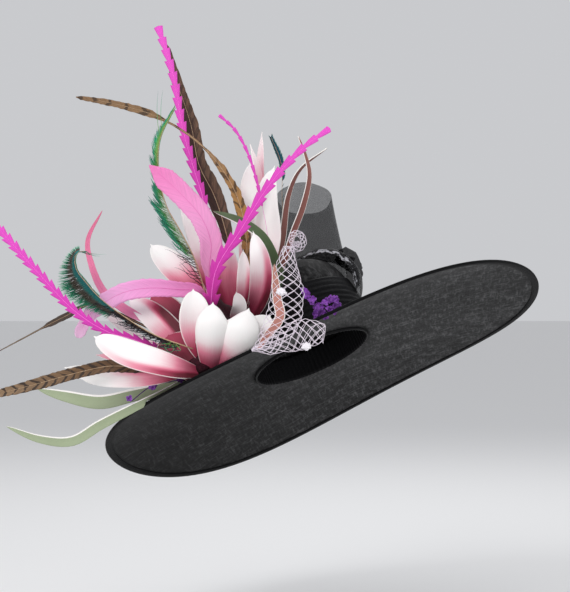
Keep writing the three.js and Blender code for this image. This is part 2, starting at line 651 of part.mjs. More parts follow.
// A coarse net: a sheet of cells, each with a hole through it.
function netSolid({ columns, rows, pointAt, thick, open }, grow) {
  const skins = [1, -1].map((sign) => (across, along) => {
    const { point, normal } = pointAt(across, along);
    return point.clone().addScaledVector(normal, sign * (thick / 2 + grow));
  });
  const margin = (1 - open) / 2;
  if (grow > 0) {
    const stations = (count) => {
      const cuts = Array.from({ length: count }, (_, i) => [i, i + margin, i + 1 - margin]);
      return [...cuts.flat(), count].map((value) => value / count);
    };
    const rings = stations(rows).map((along) => {
      const wide = [-NET_MARGIN, ...stations(columns), 1 + NET_MARGIN];
      const line = (skin) => wide.map((across) => skin(across, along));
      return [...line(skins[0]), ...line(skins[1]).reverse()];
    });
    return solidOf(loft(rings));
  }
  const points = [];
  const index = [];
  const quad = (a, b, c, d) => index.push(a, b, c, a, c, d);
  const add = (point) => points.push(point) - 1;
  const knots = skins.map((skin) =>
    Array.from({ length: rows + 1 }, (_, row) =>
      Array.from({ length: columns + 1 }, (_, column) => add(skin(column / columns, row / rows))),
    ),
  );
  for (let row = 0; row < rows; row++)
    for (let column = 0; column < columns; column++) {
      const corners = [[0, 0], [1, 0], [1, 1], [0, 1]];
      const holes = skins.map((skin) =>
        corners.map(([a, b]) =>
          add(skin((column + margin + a * open) / columns, (row + margin + b * open) / rows)),
        ),
      );
      const frames = knots.map((grid) => corners.map(([a, b]) => grid[row + b][column + a]));
      for (let i = 0; i < 4; i++) {
        const next = (i + 1) % 4;
        quad(frames[0][i], frames[0][next], holes[0][next], holes[0][i]);
        quad(frames[1][next], frames[1][i], holes[1][i], holes[1][next]);
        quad(holes[0][i], holes[0][next], holes[1][next], holes[1][i]);
      }
    }
  const wall = ([rowA, columnA], [rowB, columnB]) =>
    quad(
      knots[0][rowA][columnA],
      knots[1][rowA][columnA],
      knots[1][rowB][columnB],
      knots[0][rowB][columnB],
    );
  for (let row = 0; row < rows; row++) {
    wall([row + 1, 0], [row, 0]);
    wall([row, columns], [row + 1, columns]);
  }
  for (let column = 0; column < columns; column++) {
    wall([0, column], [0, column + 1]);
    wall([rows, column + 1], [rows, column]);
  }
  const geometry = new THREE.BufferGeometry().setFromPoints(points);
  geometry.setIndex(index);
  return solidOf(geometry);
}

// The net that hangs over the brim's front edge: left and right edge of each row, from the neck down
const VEIL_ROWS = [
  { left: -41, right: -27, up: 162, depth: -317 },
  { left: -44, right: -31, up: 139, depth: -322 },
  { left: -51, right: -21, up: 120, depth: -327 },
  { left: -57, right: -14, up: 97, depth: -331 },
  { left: -61, right: -13, up: 70, depth: -335 },
  { left: -67, right: -9, up: 50, depth: -337 },
  { left: -72, right: 11, up: 37, depth: -338 },
  { left: -80, right: 19, up: 25, depth: -342 },
  { left: -84, right: 0, up: 13, depth: -345 },
  { left: -87, right: -32, up: 6, depth: -346 },
];
const VEIL = { columns: 6, rows: 12, thick: 1.4, open: 0.72, bulge: 7 };
const CURL = { at: [-22.5, 172.5, -318], radius: 15, length: 22, columns: 2, rows: 7, start: -60, arc: 290 };

// A value of the veil's table at a place along it.
function veilValue(column, along) {
  const station = along * (VEIL_ROWS.length - 1);
  const row = Math.min(Math.floor(station), VEIL_ROWS.length - 2);
  return blend(VEIL_ROWS[row][column], VEIL_ROWS[row + 1][column], station - row);
}

function veilPoint(across, along) {
  const side = blend(veilValue("left", along), veilValue("right", along), across);
  const bulge = VEIL.bulge * Math.sin(Math.PI * across) * Math.min(1, 2 * along);
  const depth = veilValue("depth", along) - bulge;
  return { point: seen([side, veilValue("up", along), depth]), normal: new Vector3(0, -1, 0) };
}

function curlPoint(across, along) {
  const centre = seen(CURL.at);
  const angle = radians(CURL.start + CURL.arc * along);
  const normal = new Vector3(Math.cos(angle), 0, Math.sin(angle));
  const point = centre.clone().addScaledVector(normal, CURL.radius);
  point.y += (across - 0.5) * CURL.length;
  return { point, normal };
}

// Sprigs of small florets on a stem: florets as [across, up, depth]
const FLORET_RADIUS = 6;
const TWIG = { radius: 1.5, steps: 5, facets: 3 };
const SPRIGS = [
  {
    name: "sprig_right",
    stem: [[16, 20, -300], [20, 62, -305], [10, 78, -306], [-4, 90, -305]],
    florets: [[20, 78, -308], [32, 84, -307], [39, 74, -306], [28, 69, -311], [12, 70, -310], [0, 82, -309],
      [-8, 94, -307], [18, 60, -306], [6, 62, -308]],
  },
  {
    name: "sprig_left",
    stem: [[-181.5, -20, -236], [-200, -37, -243], [-238, -46, -244], [-269, -69, -240]],
    florets: [[-204, -33, -246], [-196, -36, -247], [-248, -40, -246], [-238, -47, -248], [-231, -41, -245],
      [-272, -67, -243], [-264, -72, -243]],
  },
];

function sprigSolid({ stem, florets }, grow) {
  const path = new THREE.CatmullRomCurve3(stem.map(seen));
  const section = new THREE.Shape().absarc(0, 0, TWIG.radius + grow, 0, 2 * Math.PI);
  const twig = new THREE.ExtrudeGeometry(section, {
    curveSegments: TWIG.facets,
    steps: TWIG.steps,
    extrudePath: path,
  });
  return florets.reduce((sum, at) => {
    const { x, y, z } = seen(at);
    const floret = new THREE.IcosahedronGeometry(FLORET_RADIUS + grow, 0);
    return sum.add(solidOf(floret.translate(x, y, z)));
  }, solidOf(twig));
}

const TUFT_FACETS = { around: 8, up: 6 };
const TUFTS = [
  { name: "tuft_1", at: [-45, 94.5, -340], radius: 5 },
  { name: "tuft_2", at: [-7, 13, -350.8], radius: 5 },
];

place("brim", SINAMAY, brimSolid);
place("brim_binding", BINDING_CLOTH, bindingSolid);
place("head_band", SINAMAY, headBandSolid);
place("crown", SINAMAY, crownSolid);
place("hat_band", CRIN, hatBandSolid);
place("crin_tube", CRIN, tubeSolid);
place("crown_drape", CRIN, drapeSolid);
place("side_loop", CRIN, (grow) => sheetSolid(SIDE_LOOP, grow));
place("stem_pad", PAD_FELT, padSolid);

PINK_FEATHERS.forEach(({ line, width, teeth, tip }, i) => {
  const form = { line, width, thick: FEATHER.thick, steps: 2 * teeth + 1, shape: sawShape(tip) };
  place(`pink_feather_${i + 1}`, HOT_PINK, (grow) => sheetSolid(form, grow));
});
const FEATHER_GROUPS = [
  { label: "peacock_feather", rows: PEACOCK_FEATHERS, finish: PEACOCK },
  { label: "goose_feather", rows: GOOSE_FEATHERS, finish: PALE_PINK },
  { label: "pheasant_feather", rows: PHEASANT_FEATHERS, finish: PHEASANT },
];
for (const { label, rows, finish } of FEATHER_GROUPS)
  rows.forEach(({ line, width, from, quill = VANE.quill, tip, turn }, i) => {
    const form = { ...FEATHER, line, width, turn, shape: vaneShape(from, quill, tip) };
    place(`${label}_${i + 1}`, finish, (grow) => sheetSolid(form, grow));
  });
LEAVES.forEach(({ finish, line, width, widest }, i) => {
  const form = { ...LEAF, line, width, shape: petalShape(widest, LEAF.ends) };
  place(`leaf_${i + 1}`, finish, (grow) => sheetSolid(form, grow));
});
for (const { name, finish, line, width, widest, cup, turn } of PETALS) {
  const form = { ...PETAL, line, width, cup, turn, shape: petalShape(widest, PETAL.ends) };
  place(name, finish, (grow) => sheetSolid(form, grow));
}
place("veil_net", NET, (grow) => netSolid({ ...VEIL, pointAt: veilPoint }, grow));
place("veil_curl", NET, (grow) => netSolid({ ...VEIL, ...CURL, pointAt: curlPoint }, grow));
for (const row of SPRIGS) place(row.name, FLORET, (grow) => sprigSolid(row, grow));
for (const row of TUFTS) place(row.name, TUFT, (grow) => ballSolid(row, TUFT_FACETS, grow));

export default hat;
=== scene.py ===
"""Looks of a very wide tilted sinamay hat with foam flowers, leaves, feathers and a pale net.

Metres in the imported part's frame: +X right as seen from the front, +Y away from the viewer, +Z up.
Tables are in millimetres and give places as (across, up, depth) seen from the front.
"""
import logging
import math
import random
from dataclasses import dataclass, field
from enum import Enum
from functools import cache
from typing import Callable, Iterable, Mapping, Sequence, TypeVar

import bmesh
import bpy
from mathutils import Matrix, Vector, noise


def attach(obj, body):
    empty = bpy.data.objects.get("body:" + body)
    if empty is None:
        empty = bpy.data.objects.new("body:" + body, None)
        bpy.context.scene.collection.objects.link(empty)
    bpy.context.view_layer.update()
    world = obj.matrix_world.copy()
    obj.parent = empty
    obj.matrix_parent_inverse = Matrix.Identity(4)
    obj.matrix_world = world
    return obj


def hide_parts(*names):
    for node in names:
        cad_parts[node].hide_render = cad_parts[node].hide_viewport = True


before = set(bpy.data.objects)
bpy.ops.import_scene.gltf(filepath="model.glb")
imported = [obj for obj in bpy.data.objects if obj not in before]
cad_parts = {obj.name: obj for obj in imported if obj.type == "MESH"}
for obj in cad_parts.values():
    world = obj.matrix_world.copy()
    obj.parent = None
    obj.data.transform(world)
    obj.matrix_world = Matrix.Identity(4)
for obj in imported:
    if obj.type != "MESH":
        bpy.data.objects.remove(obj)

log = logging.getLogger("hat")

MM = 0.001
Triple = tuple[float, float, float]
Colour = tuple[float, float, float]
Stops = Sequence[tuple[float, Colour]]
Value = TypeVar("Value", float, Vector)

# The eye that the tables are read from, in millimetres: level, in front of the hat
EYE_ACROSS = -39.0
EYE_UP = 88.5
EYE_DISTANCE = 2400.0

# Worn tilt of the hat: a roll to one side, then a tip back
ROLL = math.radians(23.2)
TIP_BACK = math.radians(16.2)
HAT_TURN = Matrix.Rotation(-ROLL, 3, "Y") @ Matrix.Rotation(-TIP_BACK, 3, "X")


def seen(across: float, up: float, depth: float) -> Vector:
    """Turns a table place into a place in the frame.

    Args:
        across: millimetres to the right, as seen in the plane of the head opening.
        up: millimetres up, as seen in that plane.
        depth: millimetres behind that plane.

    Returns:
        The place in metres.
    """
    spread = (EYE_DISTANCE + depth) / EYE_DISTANCE
    flat = Vector((EYE_ACROSS + (across - EYE_ACROSS) * spread, depth, EYE_UP + (up - EYE_UP) * spread))
    return flat * MM


def hat_point(right: float, back: float, up: float) -> Vector:
    """Turns millimetres along the hat's own axes into a place in the frame, in metres."""
    return HAT_TURN @ Vector((right, back, up)) * MM


def mix(low: float, high: float, share: float) -> float:
    """Gives the value at a share of the way from low to high."""
    return low + (high - low) * share


def smooth(value: float) -> float:
    """Eases a share from 0 to 1 with level ends, held within those."""
    held = min(1.0, max(0.0, value))
    return held * held * (3 - 2 * held)


def curve(start: Value, stop: Value, leave: Value, arrive: Value, share: float) -> Value:
    """Gives a value or place on a smooth curve.

    Args:
        start: where it starts.
        stop: where it ends.
        leave: its slope at the start.
        arrive: its slope at the end.
        share: share of the way.

    Returns:
        The value or place there.
    """
    rest = 1 - share
    return (start * (1 + 2 * share) * rest * rest + leave * share * rest * rest
            + stop * share * share * (3 - 2 * share) - arrive * share * share * rest)


def eased(rows: Sequence[Sequence[float]], share: float) -> tuple[float, ...]:
    """Reads a table smoothly between its rows.

    Args:
        rows: rows of equally many numbers.
        share: share of the way from the first row to the last.

    Returns:
        The numbers there.
    """
    place = share * (len(rows) - 1)
    low = min(int(place), len(rows) - 2)
    near = [rows[max(0, low - 1)], rows[low], rows[low + 1], rows[min(len(rows) - 1, low + 2)]]
    return tuple(curve(start, stop, (stop - before) / 2, (after - start) / 2, place - low)
                 for before, start, stop, after in zip(*near))


# Finishes


class Nodes:
    """A surface material under construction, with short ways to add shader nodes and join them."""

    def __init__(self, name: str, sockets: Mapping[str, object]) -> None:
        """Starts a material.

        Args:
            name: the material's name.
            sockets: values of the surface shader's own sockets.
        """
        self.material = bpy.data.materials.new(name)
        self.material.use_nodes = True
        self.tree = self.material.node_tree
        self.surface = self.tree.nodes["Principled BSDF"]
        for key, value in sockets.items():
            self.plug(self.surface, key, value)

    def plug(self, node: bpy.types.Node, key: str | int, value: object) -> None:
        """Sets an input to a value, or joins it to another node's output.

        Args:
            node: the node.
            key: the input's name or number.
            value: the value or output.
        """
        if isinstance(value, bpy.types.NodeSocket):
            self.tree.links.new(value, node.inputs[key])
        else:
            node.inputs[key].default_value = value

    def add(self, kind: str, inputs: Mapping[str | int, object] | None = None, output: str | int = 0,
            **settings: object) -> bpy.types.NodeSocket:
        """Adds a shader node.

        Args:
            kind: the node's type without its ShaderNode prefix.
            inputs: values or outputs for its inputs.
            output: which of its outputs is wanted.
            settings: its other properties.

        Returns:
            The wanted output.
        """
        node = self.tree.nodes.new(f"ShaderNode{kind}")
        for key, value in settings.items():
            setattr(node, key, value)
        for key, value in (inputs or {}).items():
            self.plug(node, key, value)
        return node.outputs[output]

    def place(self, size: Triple, turn: Triple = (0, 0, 0)) -> bpy.types.NodeSocket:
        """Gives the place on the object in pattern cells of a size in metres, along turned axes."""
        inputs = {"Vector": self.add("TexCoord", output="Object"), "Scale": size, "Rotation": turn}
        return self.add("Mapping", inputs, vector_type="TEXTURE")

    def cloud(self, size: float, detail: float = 3, rough: float = 0.5) -> bpy.types.NodeSocket:
        """Adds an even noise pattern with cells of a size in metres."""
        return self.noise(self.place((size, size, size)), detail, rough)

    def stored(self, name: str, output: str = "Fac") -> bpy.types.NodeSocket:
        """Reads a value that the mesh stores at its points."""
        return self.add("Attribute", output=output, attribute_name=name)

    def math(self, operation: str, *values: object) -> bpy.types.NodeSocket:
        """Adds a sum or other operation on values or outputs."""
        return self.add("Math", dict(enumerate(values)), operation=operation)

    def swing(self, factor: object, size: float) -> bpy.types.NodeSocket:
        """Turns a factor round one half into a shift either way."""
        return self.math("MULTIPLY", self.math("SUBTRACT", factor, 0.5), size)

    def split(self, place: object) -> Sequence[bpy.types.NodeSocket]:
        """Gives the three parts of a place."""
        return self.add("SeparateXYZ", {0: place}).node.outputs

    def noise(self, where: object, detail: float = 3, rough: float = 0.5) -> bpy.types.NodeSocket:
        """Adds a noise pattern read at a place."""
        return self.add("TexNoise", {"Vector": where, "Scale": 1.0, "Detail": detail, "Roughness": rough})

    def ramp(self, factor: object, stops: Stops) -> bpy.types.NodeSocket:
        """Adds a colour ramp.

        Args:
            factor: what drives it.
            stops: positions with their colours.

        Returns:
            The ramp's colour.
        """
        colour = self.add("ValToRGB", {"Fac": factor})
        points = colour.node.color_ramp.elements
        while len(points) < len(stops):
            points.new(1.0)
        for point, (position, shade) in zip(points, stops):
            point.position = position
            point.color = (*shade, 1)
        return colour

    def blend(self, factor: object, low: object, high: object, kind: str = "MIX") -> bpy.types.NodeSocket:
        """Mixes two colours."""
        return self.add("Mix", {0: factor, 6: low, 7: high}, output=2, data_type="RGBA", blend_type=kind)

    def bump(self, height: object, strength: float, distance: float) -> None:
        """Roughens the surface's normal by a height."""
        normal = self.add("Bump", {"Height": height, "Strength": strength, "Distance": distance})
        self.plug(self.surface, "Normal", normal)

    def barbs(self, lean: float, fine: float, coarse: float) -> bpy.types.NodeSocket:
        """Gives streaks that run out from a feather's shaft and lean towards its tip.

        Args:
            lean: how far they lean for each metre out.
            fine: streaks for each metre along.
            coarse: how quickly a streak changes along itself.

        Returns:
            The streaks as a factor round one half.
        """
        across, along, _ = self.split(self.stored("lay", "Vector"))
        out = self.math("MULTIPLY", self.math("ABSOLUTE", across), lean)
        row = self.math("MULTIPLY", self.math("SUBTRACT", along, out), fine)
        return self.noise(self.add("CombineXYZ", {0: row, 1: self.math("MULTIPLY", across, coarse)}), 2)


def grey(value: float) -> Colour:
    """Gives a neutral colour."""
    return (value, value, value)


@dataclass(frozen=True)
class Finish:
    """A finish of one kind of piece. slot is the record's material slot; it is not used."""

    name: str
    slot: str


@dataclass(frozen=True)
class Sinamay(Finish):
    """Open stiff weave of dull black fibre: uneven threads both ways, with paler flecks, and painted shade
    that darkens it towards the left as seen from the front.
    """

    base: Colour = (0.004, 0.004, 0.0042)
    thread_grey: Colour = (0.022, 0.022, 0.0225)
    fleck: Colour = (0.09, 0.09, 0.092)
    thread: float = 0.0036
    slub: float = 0.015
    # The next two set the painted shade: how steeply it darkens towards the left, and how dark it gets
    # there.
    shade_slope: float = 1.6
    shaded_grey: float = 0.3

    @cache
    def material(self) -> bpy.types.Material:
        """Builds the material.

        Returns:
            The material, which is built once.
        """
        nodes = Nodes(self.name, {"Roughness": 0.7, "Specular IOR Level": 0.12, "Sheen Weight": 0.02,
                                  "Sheen Roughness": 0.5})
        turn = tuple(HAT_TURN.to_euler())
        ways = [nodes.noise(nodes.place(size, turn), 3, 0.62)
                for size in ((self.slub, self.thread, 0.01), (self.thread, self.slub * 1.4, 0.01))]
        cross = nodes.math("ADD", nodes.math("MULTIPLY", nodes.math("MAXIMUM", *ways), 0.5),
                           nodes.math("MULTIPLY", nodes.math("ADD", *ways), 0.25))
        weave = nodes.math("ADD", cross, nodes.swing(nodes.cloud(0.03, 4), 0.3))
        colour = nodes.ramp(weave, [(0.4, self.base), (0.53, self.thread_grey), (0.68, self.fleck)])
        # Painted shade: the colour is multiplied by a ramp along X that darkens the weave towards the left,
        # where the spray of trim shades brim and crown.
        right = nodes.split(nodes.place((1.0, 1.0, 1.0)))[0]
        painted_left_shade = nodes.ramp(nodes.math("ADD", nodes.math("MULTIPLY", right, self.shade_slope), 0.5),
                                [(0.1, grey(self.shaded_grey)), (0.75, grey(1.0))])
        colour = nodes.blend(1.0, colour, painted_left_shade, "MULTIPLY")
        nodes.plug(nodes.surface, "Base Color", colour)
        nodes.bump(cross, 0.6, 0.0007)
        return nodes.material


@dataclass(frozen=True)
class Cloth(Finish):
    """A plain woven or felted finish with a fine grain."""

    base: Colour = (0.004, 0.004, 0.005)
    light: Colour = (0.02, 0.02, 0.022)
    grain: float = 900
    rough: float = 0.5
    sheen: float = 0.1
    gloss: float = 0.3

    @cache
    def material(self) -> bpy.types.Material:
        """Builds the material.

        Returns:
            The material, which is built once.
        """
        nodes = Nodes(self.name, {"Roughness": self.rough, "Sheen Weight": self.sheen,
                                  "Specular IOR Level": self.gloss})
        grain = nodes.cloud(1 / self.grain, 3, 0.6)
        nodes.plug(nodes.surface, "Base Color", nodes.ramp(grain, [(0.35, self.base), (0.7, self.light)]))
        nodes.bump(grain, 0.4, 0.0006)
        return nodes.material


@dataclass(frozen=True)
class Crin(Finish):
    """Sheer glossy horsehair braid: see-through, with fine threads, and pale streaks along its edges that
    are a painted highlight.
    """

    base: Colour = (0.003, 0.003, 0.0035)
    light: Colour = (0.02, 0.02, 0.022)
    # crumple is the colour of the painted highlight along the edges, and glint how strongly it shows.
    crumple: Colour = (0.5, 0.5, 0.53)
    cover: float = 0.5
    glint: float = 0.0
    rough: float = 0.4
    gloss: float = 0.22
    threads: Triple = (0.001, 0.012, 0.001)
    slant: float = 0.7

    @cache
    def material(self) -> bpy.types.Material:
        """Builds the material.

        Returns:
            The material, which is built once.
        """
        nodes = Nodes(self.name, {"Roughness": self.rough, "Specular IOR Level": self.gloss})
        weave = nodes.math("MAXIMUM", *(nodes.noise(nodes.place(self.threads, (0, self.slant * side, 0)), 1)
                                        for side in (1, -1)))
        # Noise that breaks up the painted highlight, and roughens the surface through the bump.
        glint_and_bump_noise = nodes.cloud(0.012, 4, 0.7)
        streaks = nodes.barbs(0, 75, 430)
        # Painted highlight: pale streaks where the stored rim is high stand for light glinting off the
        # glossy crumpled edges, and make the crin more opaque there.
        pale = nodes.ramp(nodes.math("MULTIPLY", nodes.math("ADD", streaks, glint_and_bump_noise), nodes.stored("rim")),
                          [(0.93, grey(0)), (1.1, grey(self.glint))])
        plain = nodes.ramp(weave, [(0.4, self.base), (0.8, self.light)])
        nodes.plug(nodes.surface, "Base Color", nodes.blend(pale, plain, (*self.crumple, 1)))
        cover = nodes.math("ADD", nodes.math("MULTIPLY", weave, 0.4), self.cover - 0.2)
        nodes.plug(nodes.surface, "Alpha", nodes.math("MINIMUM", nodes.math("ADD", cover, pale), 1.0))
        nodes.bump(glint_and_bump_noise, 0.35, 0.002)
        return nodes.material


@dataclass(frozen=True)
class Foam(Finish):
    """Smooth craft foam shaded by what the mesh stores as its tone, with a pale cut edge."""

    stops: Stops = ()
    edge: Colour = (0.93, 0.9, 0.86)
    edge_from: float = 0.9
    edge_cover: float = 0.0
    mottle: float = 0.05

    @cache
    def material(self) -> bpy.types.Material:
        """Builds the material.

        Returns:
            The material, which is built once.
        """
        nodes = Nodes(self.name, {"Roughness": 0.55, "Specular IOR Level": 0.3, "Sheen Weight": 0.05})
        shift = nodes.swing(nodes.cloud(0.045), self.mottle * 4)
        veins = nodes.swing(nodes.barbs(-0.25, 40, 900), self.mottle * 2)
        tone = nodes.math("ADD", nodes.math("ADD", nodes.stored("tone"), shift), veins)
        colour = nodes.ramp(tone, self.stops)
        near = nodes.math("GREATER_THAN", nodes.stored("rim"), self.edge_from)
        rim = nodes.math("MULTIPLY", near, self.edge_cover)
        nodes.plug(nodes.surface, "Base Color", nodes.blend(rim, colour, (*self.edge, 1)))
        nodes.bump(nodes.cloud(0.0007, 2), 0.12, 0.0004)
        return nodes.material


@dataclass(frozen=True)
class Vane(Finish):
    """A feather's vane: barb streaks over a colour that changes along it, with bars where it has them.

    flank is the colour of its right side, where that differs.
    """

    stops: Stops = ()
    dark: Colour = (0.02, 0.01, 0.006)
    lean: float = 1.0
    streak: float = 0.5
    bars: float = 0.0
    bar_pitch: float = 0.011
    rough: float = 0.6
    metal: float = 0.0
    sheen: float = 0.2
    wander: float = 4.0
    flank: Colour | None = None

    @cache
    def material(self) -> bpy.types.Material:
        """Builds the material.

        Returns:
            The material, which is built once.
        """
        nodes = Nodes(self.name, {"Roughness": self.rough, "Metallic": self.metal,
                                  "Sheen Weight": self.sheen, "Specular IOR Level": 0.35})
        streaks = nodes.barbs(self.lean, 1100, 60)
        across, along, share = nodes.split(nodes.stored("lay", "Vector"))
        colour = nodes.ramp(share, self.stops)
        if self.flank:
            right = nodes.math("ADD", nodes.math("MULTIPLY", across, 90.0), nodes.cloud(0.02, 4))
            flank = nodes.ramp(right, [(0.45, grey(0)), (0.95, grey(1))])
            colour = nodes.blend(flank, colour, (*self.flank, 1))
        shade = nodes.ramp(streaks, [(0.3, grey(1 - self.streak)), (0.7, grey(1.0))])
        colour = nodes.blend(1.0, colour, shade, "MULTIPLY")
        if self.bars:
            colour = nodes.blend(self.bands(nodes, across, along), colour, (*self.dark, 1))
        nodes.plug(nodes.surface, "Base Color", colour)
        nodes.bump(streaks, 0.45, 0.0007)
        return nodes.material

    def bands(self, nodes: Nodes, across: object, along: object) -> bpy.types.NodeSocket:
        """Gives the dark bars across the vane.

        Args:
            nodes: the material under construction.
            across: the place across the vane.
            along: the place along it.

        Returns:
            How dark it is barred, as a factor.
        """
        out = nodes.math("MULTIPLY", nodes.math("ABSOLUTE", across), self.lean * 0.6)
        wander = nodes.math("MULTIPLY", nodes.cloud(0.018), self.wander)
        row = nodes.math("MULTIPLY", nodes.math("SUBTRACT", along, out), 2 * math.pi / self.bar_pitch)
        wave = nodes.math("SINE", nodes.math("ADD", row, wander))
        patchy = nodes.math("MULTIPLY", nodes.math("ADD", wave, 1.0), nodes.cloud(0.008, 2))
        return nodes.math("MULTIPLY", nodes.ramp(patchy, [(0.6, grey(0)), (0.85, grey(1))]), self.bars)


PETAL_STOPS: Stops = ((0.0, (0.95, 0.93, 0.91)), (0.2, (0.93, 0.79, 0.8)), (0.48, (0.82, 0.27, 0.37)),
                      (0.75, (0.42, 0.045, 0.1)), (1.0, (0.12, 0.008, 0.02)))

SINAMAY = Sinamay("sinamay weave", "sinamay")
BINDING = Cloth("binding satin", "binding", (0.0012, 0.0012, 0.0014), (0.005, 0.005, 0.0055), 1400, 0.6,
                0.0, 0.08)
GATHERED = Cloth("gathered band", "sinamay", (0.003, 0.003, 0.0035), (0.01, 0.01, 0.011), 1100, 0.5, 0.0,
                 0.08)
FELT = Cloth("pad felt", "felt", (0.022, 0.004, 0.008), (0.06, 0.011, 0.02), 420, 0.95, 0.1, 0.1)
SHEER = Crin("sheer crin", "crin", cover=0.42, gloss=0.15)
BAND_CRIN = Crin("band crin", "crin", cover=1.1, rough=0.55, gloss=0.07)
LOOP_CRIN = Crin("loop crin", "crin", (0.008, 0.008, 0.009), (0.045, 0.045, 0.048), cover=0.72,
                 rough=0.65, gloss=0.08)
# The drape's pale crumple colour and full glint paint a highlight along its edges.
DRAPE_CRIN = Crin("drape crin", "crin", (0.014, 0.014, 0.015), (0.05, 0.05, 0.053), (0.45, 0.45, 0.48),
                  cover=0.6, glint=1.0, gloss=0.13)
PETAL = Foam("petal foam", "petal_foam", PETAL_STOPS, edge_from=0.93, edge_cover=0.6)
LEAF = Foam("leaf foam", "leaf_foam",
            ((0.0, (0.36, 0.42, 0.27)), (0.35, (0.055, 0.095, 0.035)), (0.5, (0.5, 0.22, 0.18)),
             (0.75, (0.24, 0.085, 0.07)), (1.0, (0.13, 0.05, 0.04))),
            edge_from=0.84, edge_cover=1.0, mottle=0.02)
HOT_PINK = Vane("hot pink vane", "hot_pink_feather",
                ((0.0, (0.5, 0.012, 0.24)), (0.3, (0.7, 0.035, 0.45)), (1.0, (0.88, 0.09, 0.64))),
                streak=0.25)
SOFT_PINK = Vane("soft pink vane", "pale_pink_feather",
                 ((0.0, (0.9, 0.34, 0.6)), (0.5, (0.97, 0.38, 0.7)), (1.0, (0.93, 0.22, 0.55))),
                 streak=0.22)
PALE_PINK = Vane("pale pink vane", "pale_pink_feather",
                 ((0.0, (0.93, 0.22, 0.56)), (0.5, (0.97, 0.4, 0.76)), (1.0, (0.97, 0.6, 0.85))),
                 streak=0.18)
ROSE_PINK = Vane("rose pink vane", "pale_pink_feather",
                 ((0.0, (0.9, 0.4, 0.62)), (0.6, (0.86, 0.22, 0.4)), (1.0, (0.7, 0.15, 0.27))),
                 streak=0.15)
SWORD_GREEN = Vane("sword barbs", "peacock_feather",
                   ((0.0, (0.26, 0.3, 0.09)), (0.3, (0.16, 0.42, 0.08)), (0.65, (0.02, 0.42, 0.19)),
                    (1.0, (0.01, 0.2, 0.16))), streak=0.3, rough=0.4, metal=0.2)
SWORD_EYE = Vane("sword eye barbs", "peacock_feather",
                 ((0.0, (0.02, 0.22, 0.24)), (0.16, (0.015, 0.24, 0.22)), (0.3, (0.1, 0.085, 0.065)),
                  (0.5, (0.1, 0.09, 0.06)), (0.64, (0.015, 0.22, 0.13)), (1.0, (0.025, 0.52, 0.24))),
                 streak=0.3, rough=0.4, metal=0.2)
SWORD_DARK = Vane("dark barbs", "peacock_feather",
                  ((0.0, (0.11, 0.065, 0.05)), (0.4, (0.035, 0.024, 0.026)), (0.6, (0.008, 0.014, 0.026)),
                   (1.0, (0.01, 0.04, 0.055))),
                  streak=0.3, sheen=0.0)
SWORD_BLUE = Vane("blue barbs", "peacock_feather",
                  ((0.0, (0.008, 0.05, 0.1)), (0.6, (0.01, 0.12, 0.16)), (1.0, (0.012, 0.17, 0.1))),
                  streak=0.3, rough=0.4, metal=0.3)
BARRED = Vane("barred vane", "pheasant_feather",
              ((0.0, (0.1, 0.05, 0.022)), (0.5, (0.2, 0.105, 0.045)), (1.0, (0.36, 0.23, 0.13))),
              streak=0.6, bars=0.9, bar_pitch=0.013, rough=0.55, wander=8.0)
OCHRE = Vane("ochre vane", "pheasant_feather",
             ((0.0, (0.46, 0.24, 0.1)), (0.3, (0.5, 0.26, 0.07)), (0.55, (0.38, 0.23, 0.12)),
              (0.75, (0.33, 0.19, 0.09)), (1.0, (0.28, 0.16, 0.08))),
             streak=0.5, bars=0.75, bar_pitch=0.024, wander=9.0)
MAROON = Vane("maroon vane", "pheasant_feather",
              ((0.0, (0.3, 0.25, 0.24)), (0.26, (0.11, 0.055, 0.04)), (0.42, (0.05, 0.013, 0.008)),
               (0.75, (0.055, 0.019, 0.011)), (1.0, (0.13, 0.06, 0.03))),
              streak=0.75, bars=0.5, bar_pitch=0.02, sheen=0.0, wander=8.0, flank=(0.2, 0.11, 0.065))
QUILL = Vane("quill vane", "pheasant_feather", ((0.0, (0.035, 0.025, 0.02)), (1.0, (0.12, 0.08, 0.055))),
             streak=0.4)
SHAFT = Cloth("feather shaft", "pheasant_feather", (0.42, 0.27, 0.15), (0.62, 0.46, 0.3), 300, 0.4, 0.0)
PINK_SHAFT = Cloth("pink shaft", "pale_pink_feather", (0.7, 0.1, 0.4), (0.82, 0.2, 0.52), 300, 0.4, 0.0)
HOT_SHAFT = Cloth("hot pink shaft", "hot_pink_feather", (0.85, 0.12, 0.6), (0.95, 0.22, 0.72), 300, 0.4,
                  0.0)
NET = Cloth("net thread", "net", (0.78, 0.69, 0.78), (0.92, 0.84, 0.92), 400, 0.42, 0.0)
FLORET = Cloth("floret cloth", "floret", (0.12, 0.012, 0.24), (0.34, 0.09, 0.54), 260, 0.6, 0.3)
TWIG = Cloth("floret stem", "floret", (0.05, 0.01, 0.09), (0.1, 0.03, 0.16), 260, 0.7, 0.0)
FLUFF = Cloth("white tuft", "tuft", (0.84, 0.78, 0.84), (0.93, 0.91, 0.93), 700, 0.8, 0.4)


# Making meshes


